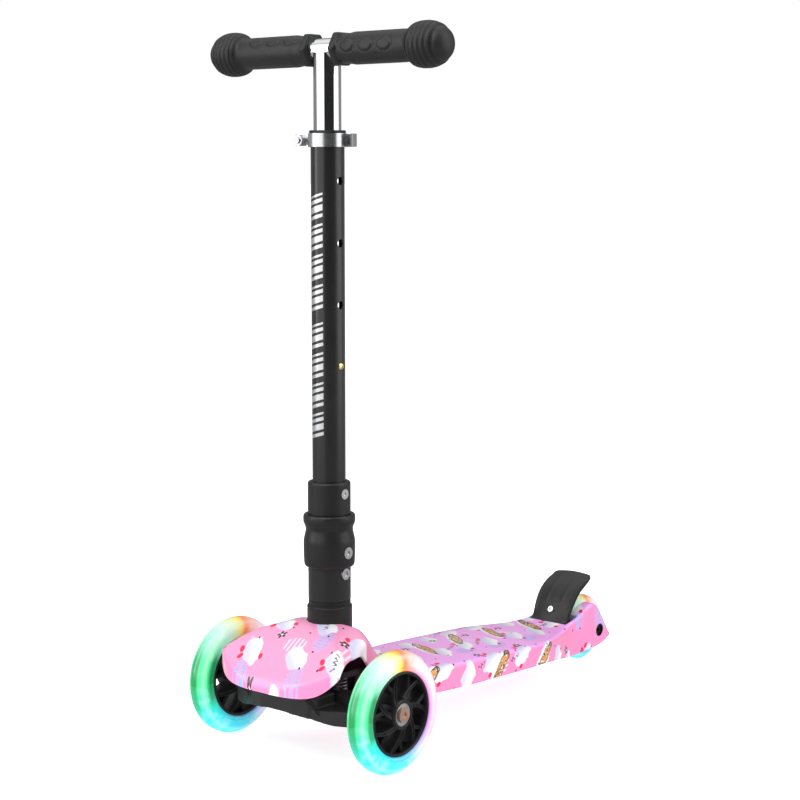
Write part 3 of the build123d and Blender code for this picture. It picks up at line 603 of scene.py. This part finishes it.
def make_materials():
    return {
        "print": print_material(),
        "plastic": plain_plastic("black_plastic_grain", (0.010, 0.010, 0.0105), 0.38, 0.9, 0.05),
        # A lighter copy of the black plastic for the axle bridge: painted bounce light from the floor.
        "painted_bounce_plastic": plain_plastic("black_plastic_painted_bounce", (0.024, 0.024, 0.0235), 0.45, 1.2, 0.08),
        "rubber": plain_plastic("rubber_grain", (0.011, 0.011, 0.0115), 0.46, 1.6, 0.10),
        "coat": powder_coat(),
        "chrome": metal("polished_chrome", (0.86, 0.87, 0.88), 0.04),
        "alloy": metal("polished_alloy", (0.66, 0.67, 0.68), 0.20, 0.12, (1.0, 1.0, 8.0)),
        "steel": metal("zinc_steel", (0.62, 0.62, 0.64), 0.24, 0.15),
        "copper": metal("copper_plating", (0.72, 0.49, 0.39), 0.30, 0.12),
        "brass": metal("polished_brass", (0.85, 0.66, 0.32), 0.16, 0.08),
        "bearing": metal("bearing_steel", (0.66, 0.66, 0.66), 0.34, 0.2),
        "spring": metal("drawn_wire", (0.45, 0.45, 0.47), 0.30, 0.1),
        "silver": metal("silver_ink", (0.72, 0.73, 0.74), 0.34, 0.1),
    }


# ---- Deck ----
DECK_WIDTH = rounded([(50, 54), (114, 54), (135, 56.5), (180, 60), (300, 60), (322, 58), (405, 31), (420, 29),
                      (492, 29)], 10)
DECK_TOP = rounded([(50, 71.8), (350, 54.9, 30), (382, 54.2, 20), (405, 56.6, 12), (420, 60.5), (446, 70.5),
                    (456, 72.4), (463, 69.2), (475.5, 52.5), (490, 30)], 6)
DECK_LOW = rounded([(50, 43), (126, 40.8), (319, 33.4), (395, 20), (418, 17), (462, 19), (479, 22),
                    (490, 28)], 12)
DECK_SKIN = 4.0
SLOT_HALF, SLOT_FRONT = 15.2, 424.0
CUP_X = 23           # the axle recess starts here, mm from the middle


def deck_section(aft):
    """Closed cross-section: crowned top, rounded shoulders, small radius below."""
    half, top, low = read(DECK_WIDTH, aft), read(DECK_TOP, aft), read(DECK_LOW, aft)
    crown = 2.6 * (1 - step(330, 410, aft))
    shoulder = min(4.5, (top - low) * 0.4)
    foot = min(2.0, (top - low) * 0.2)
    right = []
    for k in range(12):
        x = (half - shoulder) * k / 12
        right.append((x, top + crown * (1 - (x / half) ** 2)))
    for k in range(7):
        a = radians(90 - 15 * k)
        x = half - shoulder + shoulder * cos(a)
        right.append((x, top - shoulder + shoulder * sin(a) + crown * (1 - (x / half) ** 2)))
    for k in range(4):
        a = radians(-30 * k)
        right.append((half - foot + foot * cos(a), low + foot + foot * sin(a)))
    right += [((half - foot) * (1 - k / 4), low) for k in range(1, 5)]
    left = [(-x, z) for x, z in reversed(right[1:-1])]
    return [place(x, aft, z) for x, z in right + left]


def underside_cells():
    """The hollows between the ribs, as one set of separate solids."""
    ribs_x, rib = (-36, -12, 12, 36), 1.25
    edges = [-99, *ribs_x, 99]
    verts, faces = [], []
    for y0 in range(120, 386, 38):
        y1 = min(y0 + 35.5, 390)
        for a, b in zip(edges, edges[1:]):
            corners = []
            for y in (y0, y1):
                half = read(DECK_WIDTH, y) - 3.5
                low_x = max(a + rib, -half)
                high_x = min(b - rib, half)
                corners.append((low_x, high_x, y, read(DECK_TOP, y) - DECK_SKIN))
            if min(c[1] - c[0] for c in corners) < 3:
                continue
            base = len(verts)
            for x0, x1, y, z in corners:
                verts += [place(x0, y, 5), place(x1, y, 5), place(x1, y, z), place(x0, y, z)]
            faces += [tuple(base + i for i in f) for f in
                      ((0, 1, 2, 3), (7, 6, 5, 4), (0, 4, 5, 1), (1, 5, 6, 2), (2, 6, 7, 3), (3, 7, 4, 0))]
    return new_object("cells", verts, faces)


def box_tool(x0, x1, y0, y1, z0, z1):
    return prism("tool", [(y0, z0), (y1, z0), (y1, z1), (y0, z1)], x0, x1, from_side)


def rod_tool(radius, start, axis, length, segments=48):
    return lathe("tool", [(0, 0), (radius, 0), (radius, length), (0, length)], start, axis, segments)


def make_deck(looks):
    stations = [50 + 4 * k for k in range(88)] + [402 + 2 * k for k in range(44)] + [489.4]
    deck = loft("deck_body", [deck_section(aft) for aft in stations])
    slot = [(-SLOT_HALF, 500), (-SLOT_HALF, SLOT_FRONT + 5), (-SLOT_HALF + 5, SLOT_FRONT),
            (SLOT_HALF - 5, SLOT_FRONT), (SLOT_HALF, SLOT_FRONT + 5), (SLOT_HALF, 500)]
    tools = [
        box_tool(-70, 70, 40, 114, 60, 95),                    # lower step for the cover
        underside_cells(),
        box_tool(-50.5, 50.5, 40, 117, 5, 56),                 # hollow below the step
        prism("slot", rounded(slot, 4), 0, 90, from_above),    # room for the rear wheel
        box_tool(-26.6, 26.6, 401, SLOT_FRONT + 1, 45, 90),    # pocket for the brake's foot
    ]
    # Black cups line the axle recesses, so the recesses show dark.
    cup, cups = [(0, 0.05), (7.4, 0.05), (7.4, 5.6), (6.6, 5.6), (6.6, 0.8), (0, 0.8)], []
    for way in (1, -1):
        start = place(way * CUP_X, REAR_AFT, REAR_Z / MM)
        tools.append(rod_tool(7.5, start, (way, 0, 0), 10))
        cups.append(lathe("cup", cup, start, (way, 0, 0), 48))
    carve(deck, *tools)
    bevel(deck, 0.5 * MM, 2, 55)
    finish_piece(deck, "deck", looks["print"], "pink_print", "deck_shell")
    finish_piece(join("axle_cups", cups), "deck", looks["plastic"], "black_plastic")


# ---- Cover over the front truck ----
COVER_SIDE = [(-70, 40), (-70, 77), (-67, 87), (-55, 98.5), (-40, 109.5), (-20, 120.5), (0, 128), (12, 129.5),
              (36, 129.5), (52, 125.5), (70, 112.5), (90, 92), (113, 69), (113, 40)]
COVER_PLAN = [(20, -70), (44, -66), (63, -58.5), (76, -49), (82.5, -36.5), (80.5, -24), (71, -8), (62, 6),
              (58.5, 24), (58.5, 70), (54.5, 113)]
COVER_FRONT = [(83, 40), (83, 82), (80, 93), (73, 105.5), (62, 115.5), (48, 123), (24, 129.6)]
COVER_SHOULDER = [(-150, 0), (-150, 150), (22, 150), (22, 127.5), (38.5, 123.2), (47.5, 120.6), (56, 110),
                  (62.5, 97), (66.5, 93), (74, 91), (118, 82), (130, 80), (130, 0)]
COVER_RIM = [(-95, 74.3), (-69, 74.3), (-61, 77.5), (-55, 84), (-48, 93), (-40, 100.5), (-30, 106),
             (-17, 109), (-3, 109), (8, 105), (17, 96), (25, 82), (31, 67), (34, 60), (125, 60),
             (125, 5), (-95, 5)]
STEM_HOLE_R, COVER_WALL = 22.9, 3.0


def make_cover(looks):
    cover = prism("front_cover", rounded(COVER_SIDE, 16, 8, closed=True), -100, 100, from_side)
    shoulder = rounded(COVER_SHOULDER, 8, 5, closed=True)
    carve(cover, prism("tool", rounded(mirrored(COVER_PLAN), 12, 6, closed=True), 20, 150, from_above),
          prism("tool", rounded(mirrored(COVER_FRONT), 14, 6, closed=True), -100, 140, from_front),
          prism("tool", shoulder, -200, 200, from_corner(1)),
          prism("tool", shoulder, -200, 200, from_corner(-1)),
          operation="INTERSECT")
    moulded(cover, 1.8, 9)
    skin, cut = bpy.data.materials.new("skin"), bpy.data.materials.new("cut")
    cover.data.materials.append(skin)
    rim = prism("tool", rounded(COVER_RIM, 9, 6, closed=True), -110, 110, from_side)
    hole = rod_tool(STEM_HOLE_R, Vector((0, STEM_Y, 0.08)), (0, 0, 1), 70, 96)
    for tool in (rim, hole):
        tool.data.materials.append(cut)
    carve(cover, rim, hole, sharp=80)
    cut_index = [i for i, m in enumerate(cover.data.materials) if m == cut][0]
    bm = bmesh.new()
    bm.from_mesh(cover.data)
    bmesh.ops.delete(bm, geom=[f for f in bm.faces if f.material_index == cut_index], context="FACES")
    for face in bm.faces:
        face.material_index = 0
    bm.to_mesh(cover.data)
    bm.free()
    wall = cover.modifiers.new("wall", "SOLIDIFY")
    wall.thickness, wall.offset, wall.use_even_offset = COVER_WALL * MM, -1, False
    apply_modifiers(cover, 50)
    bevel(cover, 0.6 * MM, 2, 60)
    finish_piece(cover, "deck", looks["print"], "pink_print", "truck_cover")


# ---- Axle bridge ----
BRIDGE_ARCH = [(0, 53.6), (14, 53.5), (38, 50.6), (52, 47.2), (64, 44.8), (90, 44.0)]
SEAM = [(33.0, 71.5), (54.4, 47.0), (55.2, 47.7), (33.8, 72.2)]


def make_bridge(looks):
    bridge = copy_of("axle_bridge", "bridge_moulding")
    moulded(bridge, 1.1, 5, 60)
    for vertex in bridge.data.vertices:
        lowest = read(BRIDGE_ARCH, abs(vertex.co.x) / MM) * MM
        if vertex.co.y < FRONT_Y - 0.008 and vertex.co.z < lowest:
            vertex.co.z = lowest
    seams = [prism("tool", [(way * (x + shift), z) for x, z in SEAM], -60, -40.5, from_front)
             for way in (1, -1) for shift in (0.0, 2.4)]
    carve(bridge, *seams, sharp=60)
    # The bridge wears the lighter copy of the black plastic, as painted bounce light.
    finish_piece(bridge, "axle_bridge", looks["painted_bounce_plastic"], "black_plastic", "axle_bridge")


# ---- Wheels ----
# Radius, radius of the tyre's seat, half the tyre's width (mm), and number of spokes
FRONT_WHEEL = FRONT_Z / MM, 41.0, 12.0, 7
REAR_WHEEL = REAR_Z / MM, 25.0, 9.5, 5


def tyre_profile(radius, seat, half):
    """Closed section: seat, grooved flanks and a round crown, as (radius, across)."""
    shoulder = max(radius - half, seat + 5.4)
    flank = [(seat, half - 1.6), (seat + 0.9, half - 0.5), (seat + 2.4, half - 0.1), (seat + 3.6, half),
             (seat + 4.0, half - 0.5), (seat + 4.4, half - 0.5), (seat + 4.8, half)]
    crown = []
    for k in range(0, 25):
        a = radians(7.5 * k)
        crown.append((shoulder + (radius - shoulder) * sin(a), half * cos(a)))
    return flank + crown + [(r, -x) for r, x in reversed(flank)]


def blade(start, sweep, inner, outer, half_width, depth_in, depth_out, groove):
    """A spoke that spirals outwards; the groove along each face leaves two ridges."""
    sections = []
    for k in range(15):
        t = k / 14
        r = inner + (outer - inner) * t
        angle = start + sweep * t ** 0.8
        spread = half_width * (1.35 - 0.55 * t)
        depth = depth_in + (depth_out - depth_in) * t
        w, g = spread / 3.0, groove * min(1.0, 6 * t, 6 * (1 - t) + 0.3)
        top = [(-3 * w, depth - 0.9), (-2.5 * w, depth), (-1.6 * w, depth), (-1.0 * w, depth - g),
               (1.0 * w, depth - g), (1.6 * w, depth), (2.5 * w, depth), (3 * w, depth - 0.9)]
        outline = top + [(a, -b) for a, b in reversed(top)]
        ahead = start + sweep * (t + 0.02) ** 0.8 if t < 1 else start + sweep * 1.016
        here = Vector((cos(angle), sin(angle))) * r
        there = Vector((cos(ahead), sin(ahead))) * (r + (outer - inner) * 0.02)
        along = (there - here).normalized()
        normal = Vector((-along.y, along.x))
        sections.append([(here + normal * a, b) for a, b in outline])
    return sections


def make_core(name, centre, seat, spokes):
    """Rim, hub and swirling forked spokes, turned about the axle."""
    half, rim_in, axle = 11.6, seat - 2.9, Vector(centre)
    rim = [(seat, -half + 0.4), (seat, half - 0.4), (seat - 0.6, half), (seat - 1.6, half + 0.2),
           (rim_in + 0.4, half - 0.4), (rim_in, half - 1.2), (rim_in, -half + 1.2),
           (rim_in + 0.4, -half + 0.4), (seat - 1.6, -half - 0.2), (seat - 0.6, -half)]
    hub_out, hub_half, bore = 15.0 if seat > 30 else 13.6, 13.6, 11.05
    hub = [(bore, -hub_half), (hub_out - 1.6, -hub_half), (hub_out - 0.4, -hub_half + 1.0),
           (hub_out, -hub_half + 3), (hub_out, hub_half - 3), (hub_out - 0.4, hub_half - 1.0),
           (hub_out - 1.6, hub_half), (bore, hub_half)]
    pieces = [lathe("rim", rim, axle, (1, 0, 0), 112, closed=True),
              lathe("hub", hub, axle, (1, 0, 0), 72, closed=True)]
    for k in range(spokes):
        start = 2 * pi * k / spokes
        main = blade(start, radians(34), hub_out - 1.5, rim_in + 1.2, 2.2, 12.0, 9.4, 1.5)
        fork_r = hub_out + (rim_in - hub_out) * 0.42
        fork = blade(start + radians(16), radians(-9), fork_r, rim_in + 1.2, 1.7, 10.4, 9.4, 1.1)
        for sections in (main, fork):
            pieces.append(loft("spoke", [[axle + Vector((x, -p.x, p.y)) * MM for p, x in section]
                                         for section in sections], 30))
    return join(name, pieces, 30)


def make_wheel(side, centre, looks):
    name, tail = ("front", "_" + side) if side else ("rear", "")
    body = f"{name}_wheel{tail}"
    radius, seat, half, spokes = FRONT_WHEEL if side else REAR_WHEEL
    glow = tyre_material("tyre_glow_" + (side or "rear"), Vector(centre), radius * MM)
    profile = tyre_profile(radius, seat, half)
    tyre = lathe(f"{name}_wheel_tyre{tail}", profile, centre, (1, 0, 0), 160, closed=True, sharp=50)
    finish_piece(tyre, body, glow, "clear_tyre", f"{name}_tyre{tail}", f"{name}_light_ring{tail}")
    core = make_core(f"{name}_wheel_core{tail}", centre, seat, spokes)
    bevel(core, 0.25 * MM, 1, 50)
    finish_piece(core, body, looks["plastic"], "black_plastic", f"{name}_core{tail}")


# ---- Grips ----
GRIP_SHAPE = [(15, 14.0), (24, 14.3), (33, 14.7), (38, 15.5), (97, 15.5), (107, 15.2), (109.5, 16.2),
              (111, 18.6), (114, 20.6), (119, 21.7), (125, 22.0), (130, 21.7), (135, 20.6), (139, 19.0),
              (141, 17.6), (142, 15.9), (144, 15.3), (146.5, 13.4), (149, 9.8), (150.5, 5.5), (151, 0.0)]
FLANGE_R, FLANGE_IN, FLANGE_OUT = 17.9, 15.0, 22.5
BAR_HOLE_R, BAR_HOLE_DEPTH = 11.05, 133      # it starts 10 mm from the bar's middle
GRIP_RIDGES, RIDGE_FROM, RIDGE_STEP = 5, 113.5, 5.5
BUMPS, BUMP_LONG, BUMP_TALL = (38.0, 61.0, 84.0), 8.6, 6.3
BUMP_TURN = {1: radians(8), -1: radians(42)}        # up from the front, left and right


def flange_radius(x, angle):
    """The six-sided inner flange: flat above and below, corners to the front and rear."""
    turn = (angle + 2 * pi) % (pi / 3) - pi / 6
    flat = FLANGE_R * cos(pi / 6) / cos(turn)
    edge = min(x - FLANGE_IN, FLANGE_OUT - x)
    return min(flat, FLANGE_R - 0.5) - 1.2 * (1 - step(0.0, 1.4, edge)) if edge >= 0 else 0.0


def grip_radius(x, angle, bump_turn):
    """Radius of the grip, mm; the angle is measured from the front, upwards."""
    r = read(GRIP_SHAPE, x)
    if RIDGE_FROM <= x <= RIDGE_FROM + GRIP_RIDGES * RIDGE_STEP:
        phase = (x - RIDGE_FROM) / RIDGE_STEP % 1
        r -= 1.3 * step(0.26, 0.42, abs(phase - 0.5))
    for bump in BUMPS:
        reach = hypot((x - bump) / BUMP_LONG, (angle - bump_turn) * 15.5 / BUMP_TALL)
        r += 1.0 * (1 - step(0.80, 1.0, reach))
        r -= 0.5 * (1 - step(0.0, 0.14, abs(reach - 1.1)))
    palm = step(31, 44, x) * (1 - step(88, 99, x)) * step(radians(100), radians(112), angle)
    palm *= 1 - step(radians(225), radians(240), angle)
    return max(r + 1.0 * palm, flange_radius(x, angle))


def make_grip(side, way, looks):
    rows = [15 + 0.5 * k for k in range(16)] + [23 + 0.7 * k for k in range(183)] + [150.8]
    around, verts = 112, []
    for x in rows:
        for k in range(around):
            angle = 2 * pi * k / around
            r = grip_radius(x, angle if angle < radians(250) else angle - 2 * pi, BUMP_TURN[way]) * MM
            verts.append(Vector((way * x * MM, STEM_Y - r * cos(angle), BAR_Z + r * sin(angle))))
    faces = grid_faces(len(rows), around, close_cols=True)
    faces += [tuple(range(around))[::-1], tuple(range(len(verts) - around, len(verts)))]
    grip = new_object(f"handle_{side}", verts, faces, 60)
    start = Vector((way * 0.01, STEM_Y, BAR_Z))
    carve(grip, rod_tool(BAR_HOLE_R, start, (way, 0, 0), BAR_HOLE_DEPTH), sharp=60)
    finish_piece(grip, "handlebar", looks["rubber"], "rubber", f"grip_{side}")


# ---- Lock sleeve and brake ----
def make_sleeve(looks):
    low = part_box("lock_sleeve")[0]
    profile = [(21.6, 0), (22.8, 0), (24.4, 0.9), (25.2, 3.0), (25.6, 12), (25.7, 24), (25.5, 27.5),
               (24.3, 32.5), (23.5, 36.5), (23.5, 38.5), (24.2, 41.0), (25.3, 43.6), (25.9, 45.4),
               (25.95, 49.8), (25.5, 51.8), (24.6, 52.65), (21.6, 52.65), (21.6, 26.1), (18.8, 26.1),
               (18.8, 22.6), (21.6, 22.6)]
    smooth_profile = rounded(profile[:16], 2.0, 4) + profile[16:]
    foot = Vector((0, STEM_Y, low.z))
    sleeve = lathe("sleeve_moulding", smooth_profile, foot, (0, 0, 1), 128, closed=True, sharp=40)
    screw = middle("guide_screw")
    carve(sleeve, rod_tool(6.3, Vector((0.0234, STEM_Y, screw[2])), (1, 0, 0), 10),
          rod_tool(2.1, Vector((0.015, STEM_Y, screw[2])), (1, 0, 0), 12), sharp=40)
    bevel(sleeve, 0.4 * MM, 2, 55)
    finish_piece(sleeve, "lock_sleeve", looks["plastic"], "black_plastic", "lock_sleeve")


BRAKE_HALF, BRAKE_R, BRAKE_WALL = 25.2, 64.2, 2.6        # the radius is about the rear axle


def around_rear(radius, angle):
    return REAR_AFT + radius * cos(radians(angle)), REAR_Z / MM + radius * sin(radians(angle))


def make_brake(looks):
    """Curved fender: crowned across, ribs on its back, flanged sides and a flicked-up tip."""
    def outer(t, u):
        angle = 167 - 68 * t
        lift = 1.6 * step(0.84, 1.0, t)
        corner = max(0.0, (t - 0.90) / 0.10)
        rounding = 5.5 * (1 - sqrt(max(0.0, 1 - corner * corner)))
        half = BRAKE_HALF * (0.95 + 0.05 * step(0.1, 0.5, t)) - rounding
        crown = (1.6 + 1.2 * (1 - step(0.0, 0.3, t))) * (1 - u * u)
        rib = 0.5 * (1 - step(0.05, 0.09, abs(abs(u) - 0.42))) * step(0.3, 0.42, t) * (1 - step(0.8, 0.9, t))
        edge = 0.8 * step(0.86, 0.93, abs(u)) * step(0.15, 0.3, t) * (1 - step(0.7, 0.88, t))
        bulge = 1.6 * step(0.25, 0.6, t)
        y, z = around_rear(BRAKE_R + lift + crown + rib + edge + bulge, angle)
        return half * u, y, z, angle

    rows, cols = 60, 41
    shell = [outer(i / (rows - 1), -1 + 2 * j / (cols - 1)) for i in range(rows) for j in range(cols)]
    verts = [place(x, y, z) for x, y, z, _ in shell]
    for index, (x, y, z, angle) in enumerate(shell):
        u = abs(x) / BRAKE_HALF
        t = (index // cols) / (rows - 1)
        deep = BRAKE_WALL + 2.6 * step(0.86, 0.92, u) * step(0.12, 0.2, t) * (1 - step(0.72, 0.93, t))
        shift = around_rear(BRAKE_R - deep, angle)
        base = around_rear(BRAKE_R, angle)
        verts.append(place(x, y + shift[0] - base[0], z + shift[1] - base[1]))
    count = rows * cols
    faces = grid_faces(rows, cols)
    faces += [tuple(count + i for i in reversed(f)) for f in grid_faces(rows, cols)]
    border = (list(range(cols)) + [i * cols + cols - 1 for i in range(1, rows)]
              + [(rows - 1) * cols + j for j in range(cols - 2, -1, -1)]
              + [i * cols for i in range(rows - 2, 0, -1)])
    for a, b in zip(border, border[1:] + border[:1]):
        faces.append((b, a, count + a, count + b))
    fender = new_object("fender_moulding", verts, faces, 40)
    foot = [around_rear(63.5, 158.5), around_rear(63.0, 151), around_rear(60.5, 153), (414.5, 52.5),
            (412, 47.8), (404.6, 47.8), (404.2, 56)]
    foot = prism("foot", rounded(foot, 1.2, closed=True), -24.4, 24.4, from_side)
    pivot = box_tool(-6, 6, 405.3, 416.5, 43, 57.5)
    carve(foot, pivot)
    carve(fender, foot, operation="UNION", sharp=40)
    screw = Vector(middle("brake_screw"))
    axle = Vector((0, REAR_Y, REAR_Z))
    out = (screw - axle).normalized()
    carve(fender, rod_tool(1.95, axle + out * 0.05, out, 30), sharp=40)
    bevel(fender, 0.6 * MM, 2, 50)
    finish_piece(fender, "brake", looks["plastic"], "black_plastic", "brake_fender")


# ---- Silver stripes on the stem ----
STRIPE_TURN = radians(-6)
STRIPE_HALF, STRIPE_LEAN, STRIPE_PITCH, STRIPE_REPEATS = 8.6, 5.0, 29.3, 4
STRIPE_RUNS = (437.0, 312.0)                # lowest bar of each run, above the floor
STRIPE_BARS = ((0.0, 3.4), (6.2, 6.0), (14.8, 3.6), (21.0, 2.2))      # place and thickness in each repeat


def tube_patch(name, corners, z_mid):
    """A flat outline laid on the tube: corners are (across, up) in mm, centred on the front."""
    verts, count = [], 9
    left_low, right_low, right_high, left_high = (Vector(corner) for corner in corners)
    steps = [i / (count - 1) for i in range(count)]
    grid = [(left_low.lerp(right_low, s), left_high.lerp(right_high, s)) for s in steps]
    for depth in (TUBE_R + 0.00012, TUBE_R - 0.0002):
        for low, high in grid:
            for a, b in (low, high):
                angle = a * MM / TUBE_R + STRIPE_TURN
                verts.append(Vector((depth * sin(angle), STEM_Y - depth * cos(angle), (z_mid + b) * MM)))
    faces = []
    last, base = 2 * (count - 1), 2 * count
    for a in range(0, last, 2):
        b = base + a
        faces += [(a, a + 2, a + 3, a + 1), (b, b + 1, b + 3, b + 2),
                  (a, b, b + 2, a + 2), (a + 1, a + 3, b + 3, b + 1)]
    faces += [(0, 1, base + 1, base), (last, base + last, base + last + 1, last + 1)]
    return new_object(name, verts, faces, 30)


def make_stripes(looks):
    """Two runs of plain slanted silver bars."""
    pieces = []
    for start in STRIPE_RUNS:
        for k in range(STRIPE_REPEATS):
            for rise, thick in STRIPE_BARS:
                z = start + STRIPE_PITCH * k + rise
                h, lean = STRIPE_HALF, STRIPE_LEAN
                pieces.append(tube_patch("bar", [(-h, 0), (h, lean), (h, lean + thick), (-h, thick)], z))
    finish_piece(join("stem_stripes", pieces), "stem", looks["silver"], "silver_alloy")


# ---- CAD nodes that stay ----
CARRIED = {
    "coat": ("outer_tube", "hinge_lower", "hinge_upper"),
    "plastic": ("truck_housing", "stem_base", "base_ring", "upper_collar", "tube_bushing", "clamp_washer",
                "lower_guide", "rear_axle", "rear_axle_nut"),
    "chrome": ("inner_tube", "crossbar"),
    "alloy": ("clamp_collar", "clamp_lever", "collar_screw", "guide_screw", "fold_nut"),
    "copper": ("front_axle_bolts",),
    "brass": ("snap_button", "bridge_bushings"),
    "bearing": ("front_bearings_left", "front_bearings_right", "rear_bearings"),
    "spring": ("clamp_nut", "clamp_bolt", "steering_springs", "brake_spring", "sleeve_spring", "button_clip"),
    "steel": ("deck_bolts", "cover_screws", "kingpin_bolt", "kingpin_nut", "stem_bolt", "fold_pin",
              "brake_screw", "rear_spacer", "brake_pin", "front_spacers", "brake_pad", "clamp_pin"),
}
EDGE_ROUND = {"stem_base": 0.8, "base_ring": 0.25, "hinge_lower": 0.5, "hinge_upper": 0.4,
              "upper_collar": 0.5, "clamp_collar": 0.6, "clamp_lever": 0.9, "front_axle_bolts": 0.5,
              "outer_tube": 0.25}


def dress_frame(looks):
    for material, names in CARRIED.items():
        for name in names:
            obj = nodes[name]
            obj.data.materials.clear()
            obj.data.materials.append(looks[material])
            smooth(obj, 30)
            bevel(obj, EDGE_ROUND.get(name, 0.2) * MM, 2, 40)


# ---- Stage ----
AIM = (0.0677, -0.1615, 0.3524)
CAMERA_AZIMUTH, CAMERA_ELEVATION, CAMERA_DISTANCE, CAMERA_LENS = 39.99, 7.05, 1.803, 83.36


def new_nodes(tree, *kinds):
    return [tree.nodes.new("ShaderNode" + kind) for kind in kinds]


def wire(tree, *pairs):
    for output, socket in pairs:
        tree.links.new(output, socket)


def mirrored_grey(tree):
    """Make the floor show as grey in shiny surfaces, so black parts keep their contrast."""
    surface = next(n for n in tree.nodes if n.type == "OUTPUT_MATERIAL").inputs["Surface"]
    plain = surface.links[0].from_socket
    path, grey, mix = new_nodes(tree, "LightPath", "Emission", "MixShader")
    grey.inputs[0].default_value, grey.inputs[1].default_value = (1, 1, 1, 1), 0.40
    wire(tree, (path.outputs["Is Glossy Ray"], mix.inputs[0]), (plain, mix.inputs[1]),
         (grey.outputs[0], mix.inputs[2]), (mix.outputs[0], surface))


def make_floor():
    reach = 60
    corners = [(-reach, -reach, 0), (reach, -reach, 0), (reach, reach, 0), (-reach, reach, 0)]
    floor = new_object("floor", corners, [(0, 1, 2, 3)])
    s = Shader("floor_white", roughness=0.7, specular_ior_level=0.2, emission_strength=0.78)
    white = s.mix(s.noise(3.0), (0.86, 0.86, 0.86), (0.88, 0.88, 0.88))
    s.set(base_color=white, emission_color=white)
    floor.data.materials.append(s.material)
    mirrored_grey(s.material.node_tree)


def make_world():
    """White to the camera, a little dimmer as light, and brightest overhead in shiny surfaces."""
    world = bpy.context.scene.world = bpy.data.worlds.new("studio")
    world.use_nodes = True
    tree = world.node_tree
    shown = tree.nodes["Background"]
    lit, choose, path = new_nodes(tree, "Background", "MixShader", "LightPath")
    gloss, sky, final = new_nodes(tree, "Background", "TexCoord", "MixShader")
    split, height = new_nodes(tree, "SeparateXYZ", "MapRange")
    shown.inputs[0].default_value = lit.inputs[0].default_value = (1, 1, 1, 1)
    shown.inputs[1].default_value, lit.inputs[1].default_value = 1.0, 0.72
    for socket, value in (("From Min", 0.5), ("From Max", 0.95), ("To Min", 0.34), ("To Max", 2.0)):
        height.inputs[socket].default_value = value
    wire(tree, (path.outputs["Is Diffuse Ray"], choose.inputs[0]), (shown.outputs[0], choose.inputs[1]),
         (lit.outputs[0], choose.inputs[2]), (sky.outputs["Generated"], split.inputs[0]),
         (split.outputs["Z"], height.inputs["Value"]), (height.outputs[0], gloss.inputs[1]),
         (path.outputs["Is Glossy Ray"], final.inputs[0]), (choose.outputs[0], final.inputs[1]),
         (gloss.outputs[0], final.inputs[2]), (final.outputs[0], tree.nodes["World Output"].inputs[0]))


def towards(azimuth, elevation=0.0):
    """Direction from the scooter: 0 is the front and 90 its left."""
    a, e = radians(azimuth), radians(elevation)
    return Vector((sin(a) * cos(e), -cos(a) * cos(e), sin(e)))


def soft_light(name, azimuth, elevation, distance, width, height, power):
    """Rectangular softbox that looks at the scooter from a direction."""
    data = bpy.data.lights.new(name, "AREA")
    data.shape, data.size, data.size_y, data.energy = "RECTANGLE", width, height, power
    light = bpy.data.objects.new(name, data)
    bpy.context.collection.objects.link(light)
    light.location = Vector(AIM) + towards(azimuth, elevation) * distance
    light.rotation_euler = (Vector(AIM) - light.location).to_track_quat("-Z", "Y").to_euler()
    light.visible_camera = False


def studio_card(name, azimuth, width, height, distance, glow=0.0):
    """A black flag or a glowing white card that only shows as a band in shiny surfaces."""
    out = towards(azimuth)
    across = Vector((-out.y, out.x, 0))
    centre = Vector((0, STEM_Y, height / 2)) + out * distance
    corners = [centre + across * (sx * width / 2) + Vector((0, 0, sz * height / 2))
               for sx, sz in ((-1, -1), (1, -1), (1, 1), (-1, 1))]
    flag = new_object(name, corners, [(0, 1, 2, 3)])
    s = Shader(name + "_cloth", roughness=0.9, specular_ior_level=0.1, emission_strength=glow)
    cloth = s.mix(s.noise(30.0), (0.010, 0.010, 0.010), (0.018, 0.018, 0.018))
    s.set(base_color=cloth, emission_color=(1, 1, 1))
    flag.data.materials.append(s.material)
    flag.visible_camera = flag.visible_diffuse = flag.visible_shadow = flag.visible_transmission = False


def make_camera():
    back = towards(CAMERA_AZIMUTH, CAMERA_ELEVATION)
    data = bpy.data.cameras.new("camera")
    data.lens, data.sensor_width = CAMERA_LENS, 36.0
    camera = bpy.data.objects.new("camera", data)
    bpy.context.collection.objects.link(camera)
    camera.location = Vector(AIM) + back * CAMERA_DISTANCE
    camera.rotation_euler = back.to_track_quat("Z", "Y").to_euler()
    bpy.context.scene.camera = camera


# ---- Everything ----
bpy.context.scene.view_settings.view_transform = "Standard"
make_floor()
make_world()
make_camera()
soft_light("key", 10, 50, 2.6, 1.6, 1.6, 26)
soft_light("left_strip", -45, 20, 2.4, 0.7, 2.2, 12)
soft_light("right_fill", 110, 35, 2.6, 1.2, 1.6, 10)
studio_card("flag_right", 57, 4.2, 2.6, 2.5)
studio_card("card_left", -16, 3.0, 2.6, 2.4, 1.5)
studio_card("card_right", 122, 2.2, 2.6, 2.4, 1.8)
looks = make_materials()
dress_frame(looks)
make_deck(looks)
make_cover(looks)
make_bridge(looks)
for side, centre in (("left", WHEEL_L), ("right", WHEEL_R), ("", WHEEL_B)):
    make_wheel(side, centre, looks)
for side, way in (("left", 1), ("right", -1)):
    make_grip(side, way, looks)
make_sleeve(looks)
make_brake(looks)
make_stripes(looks)
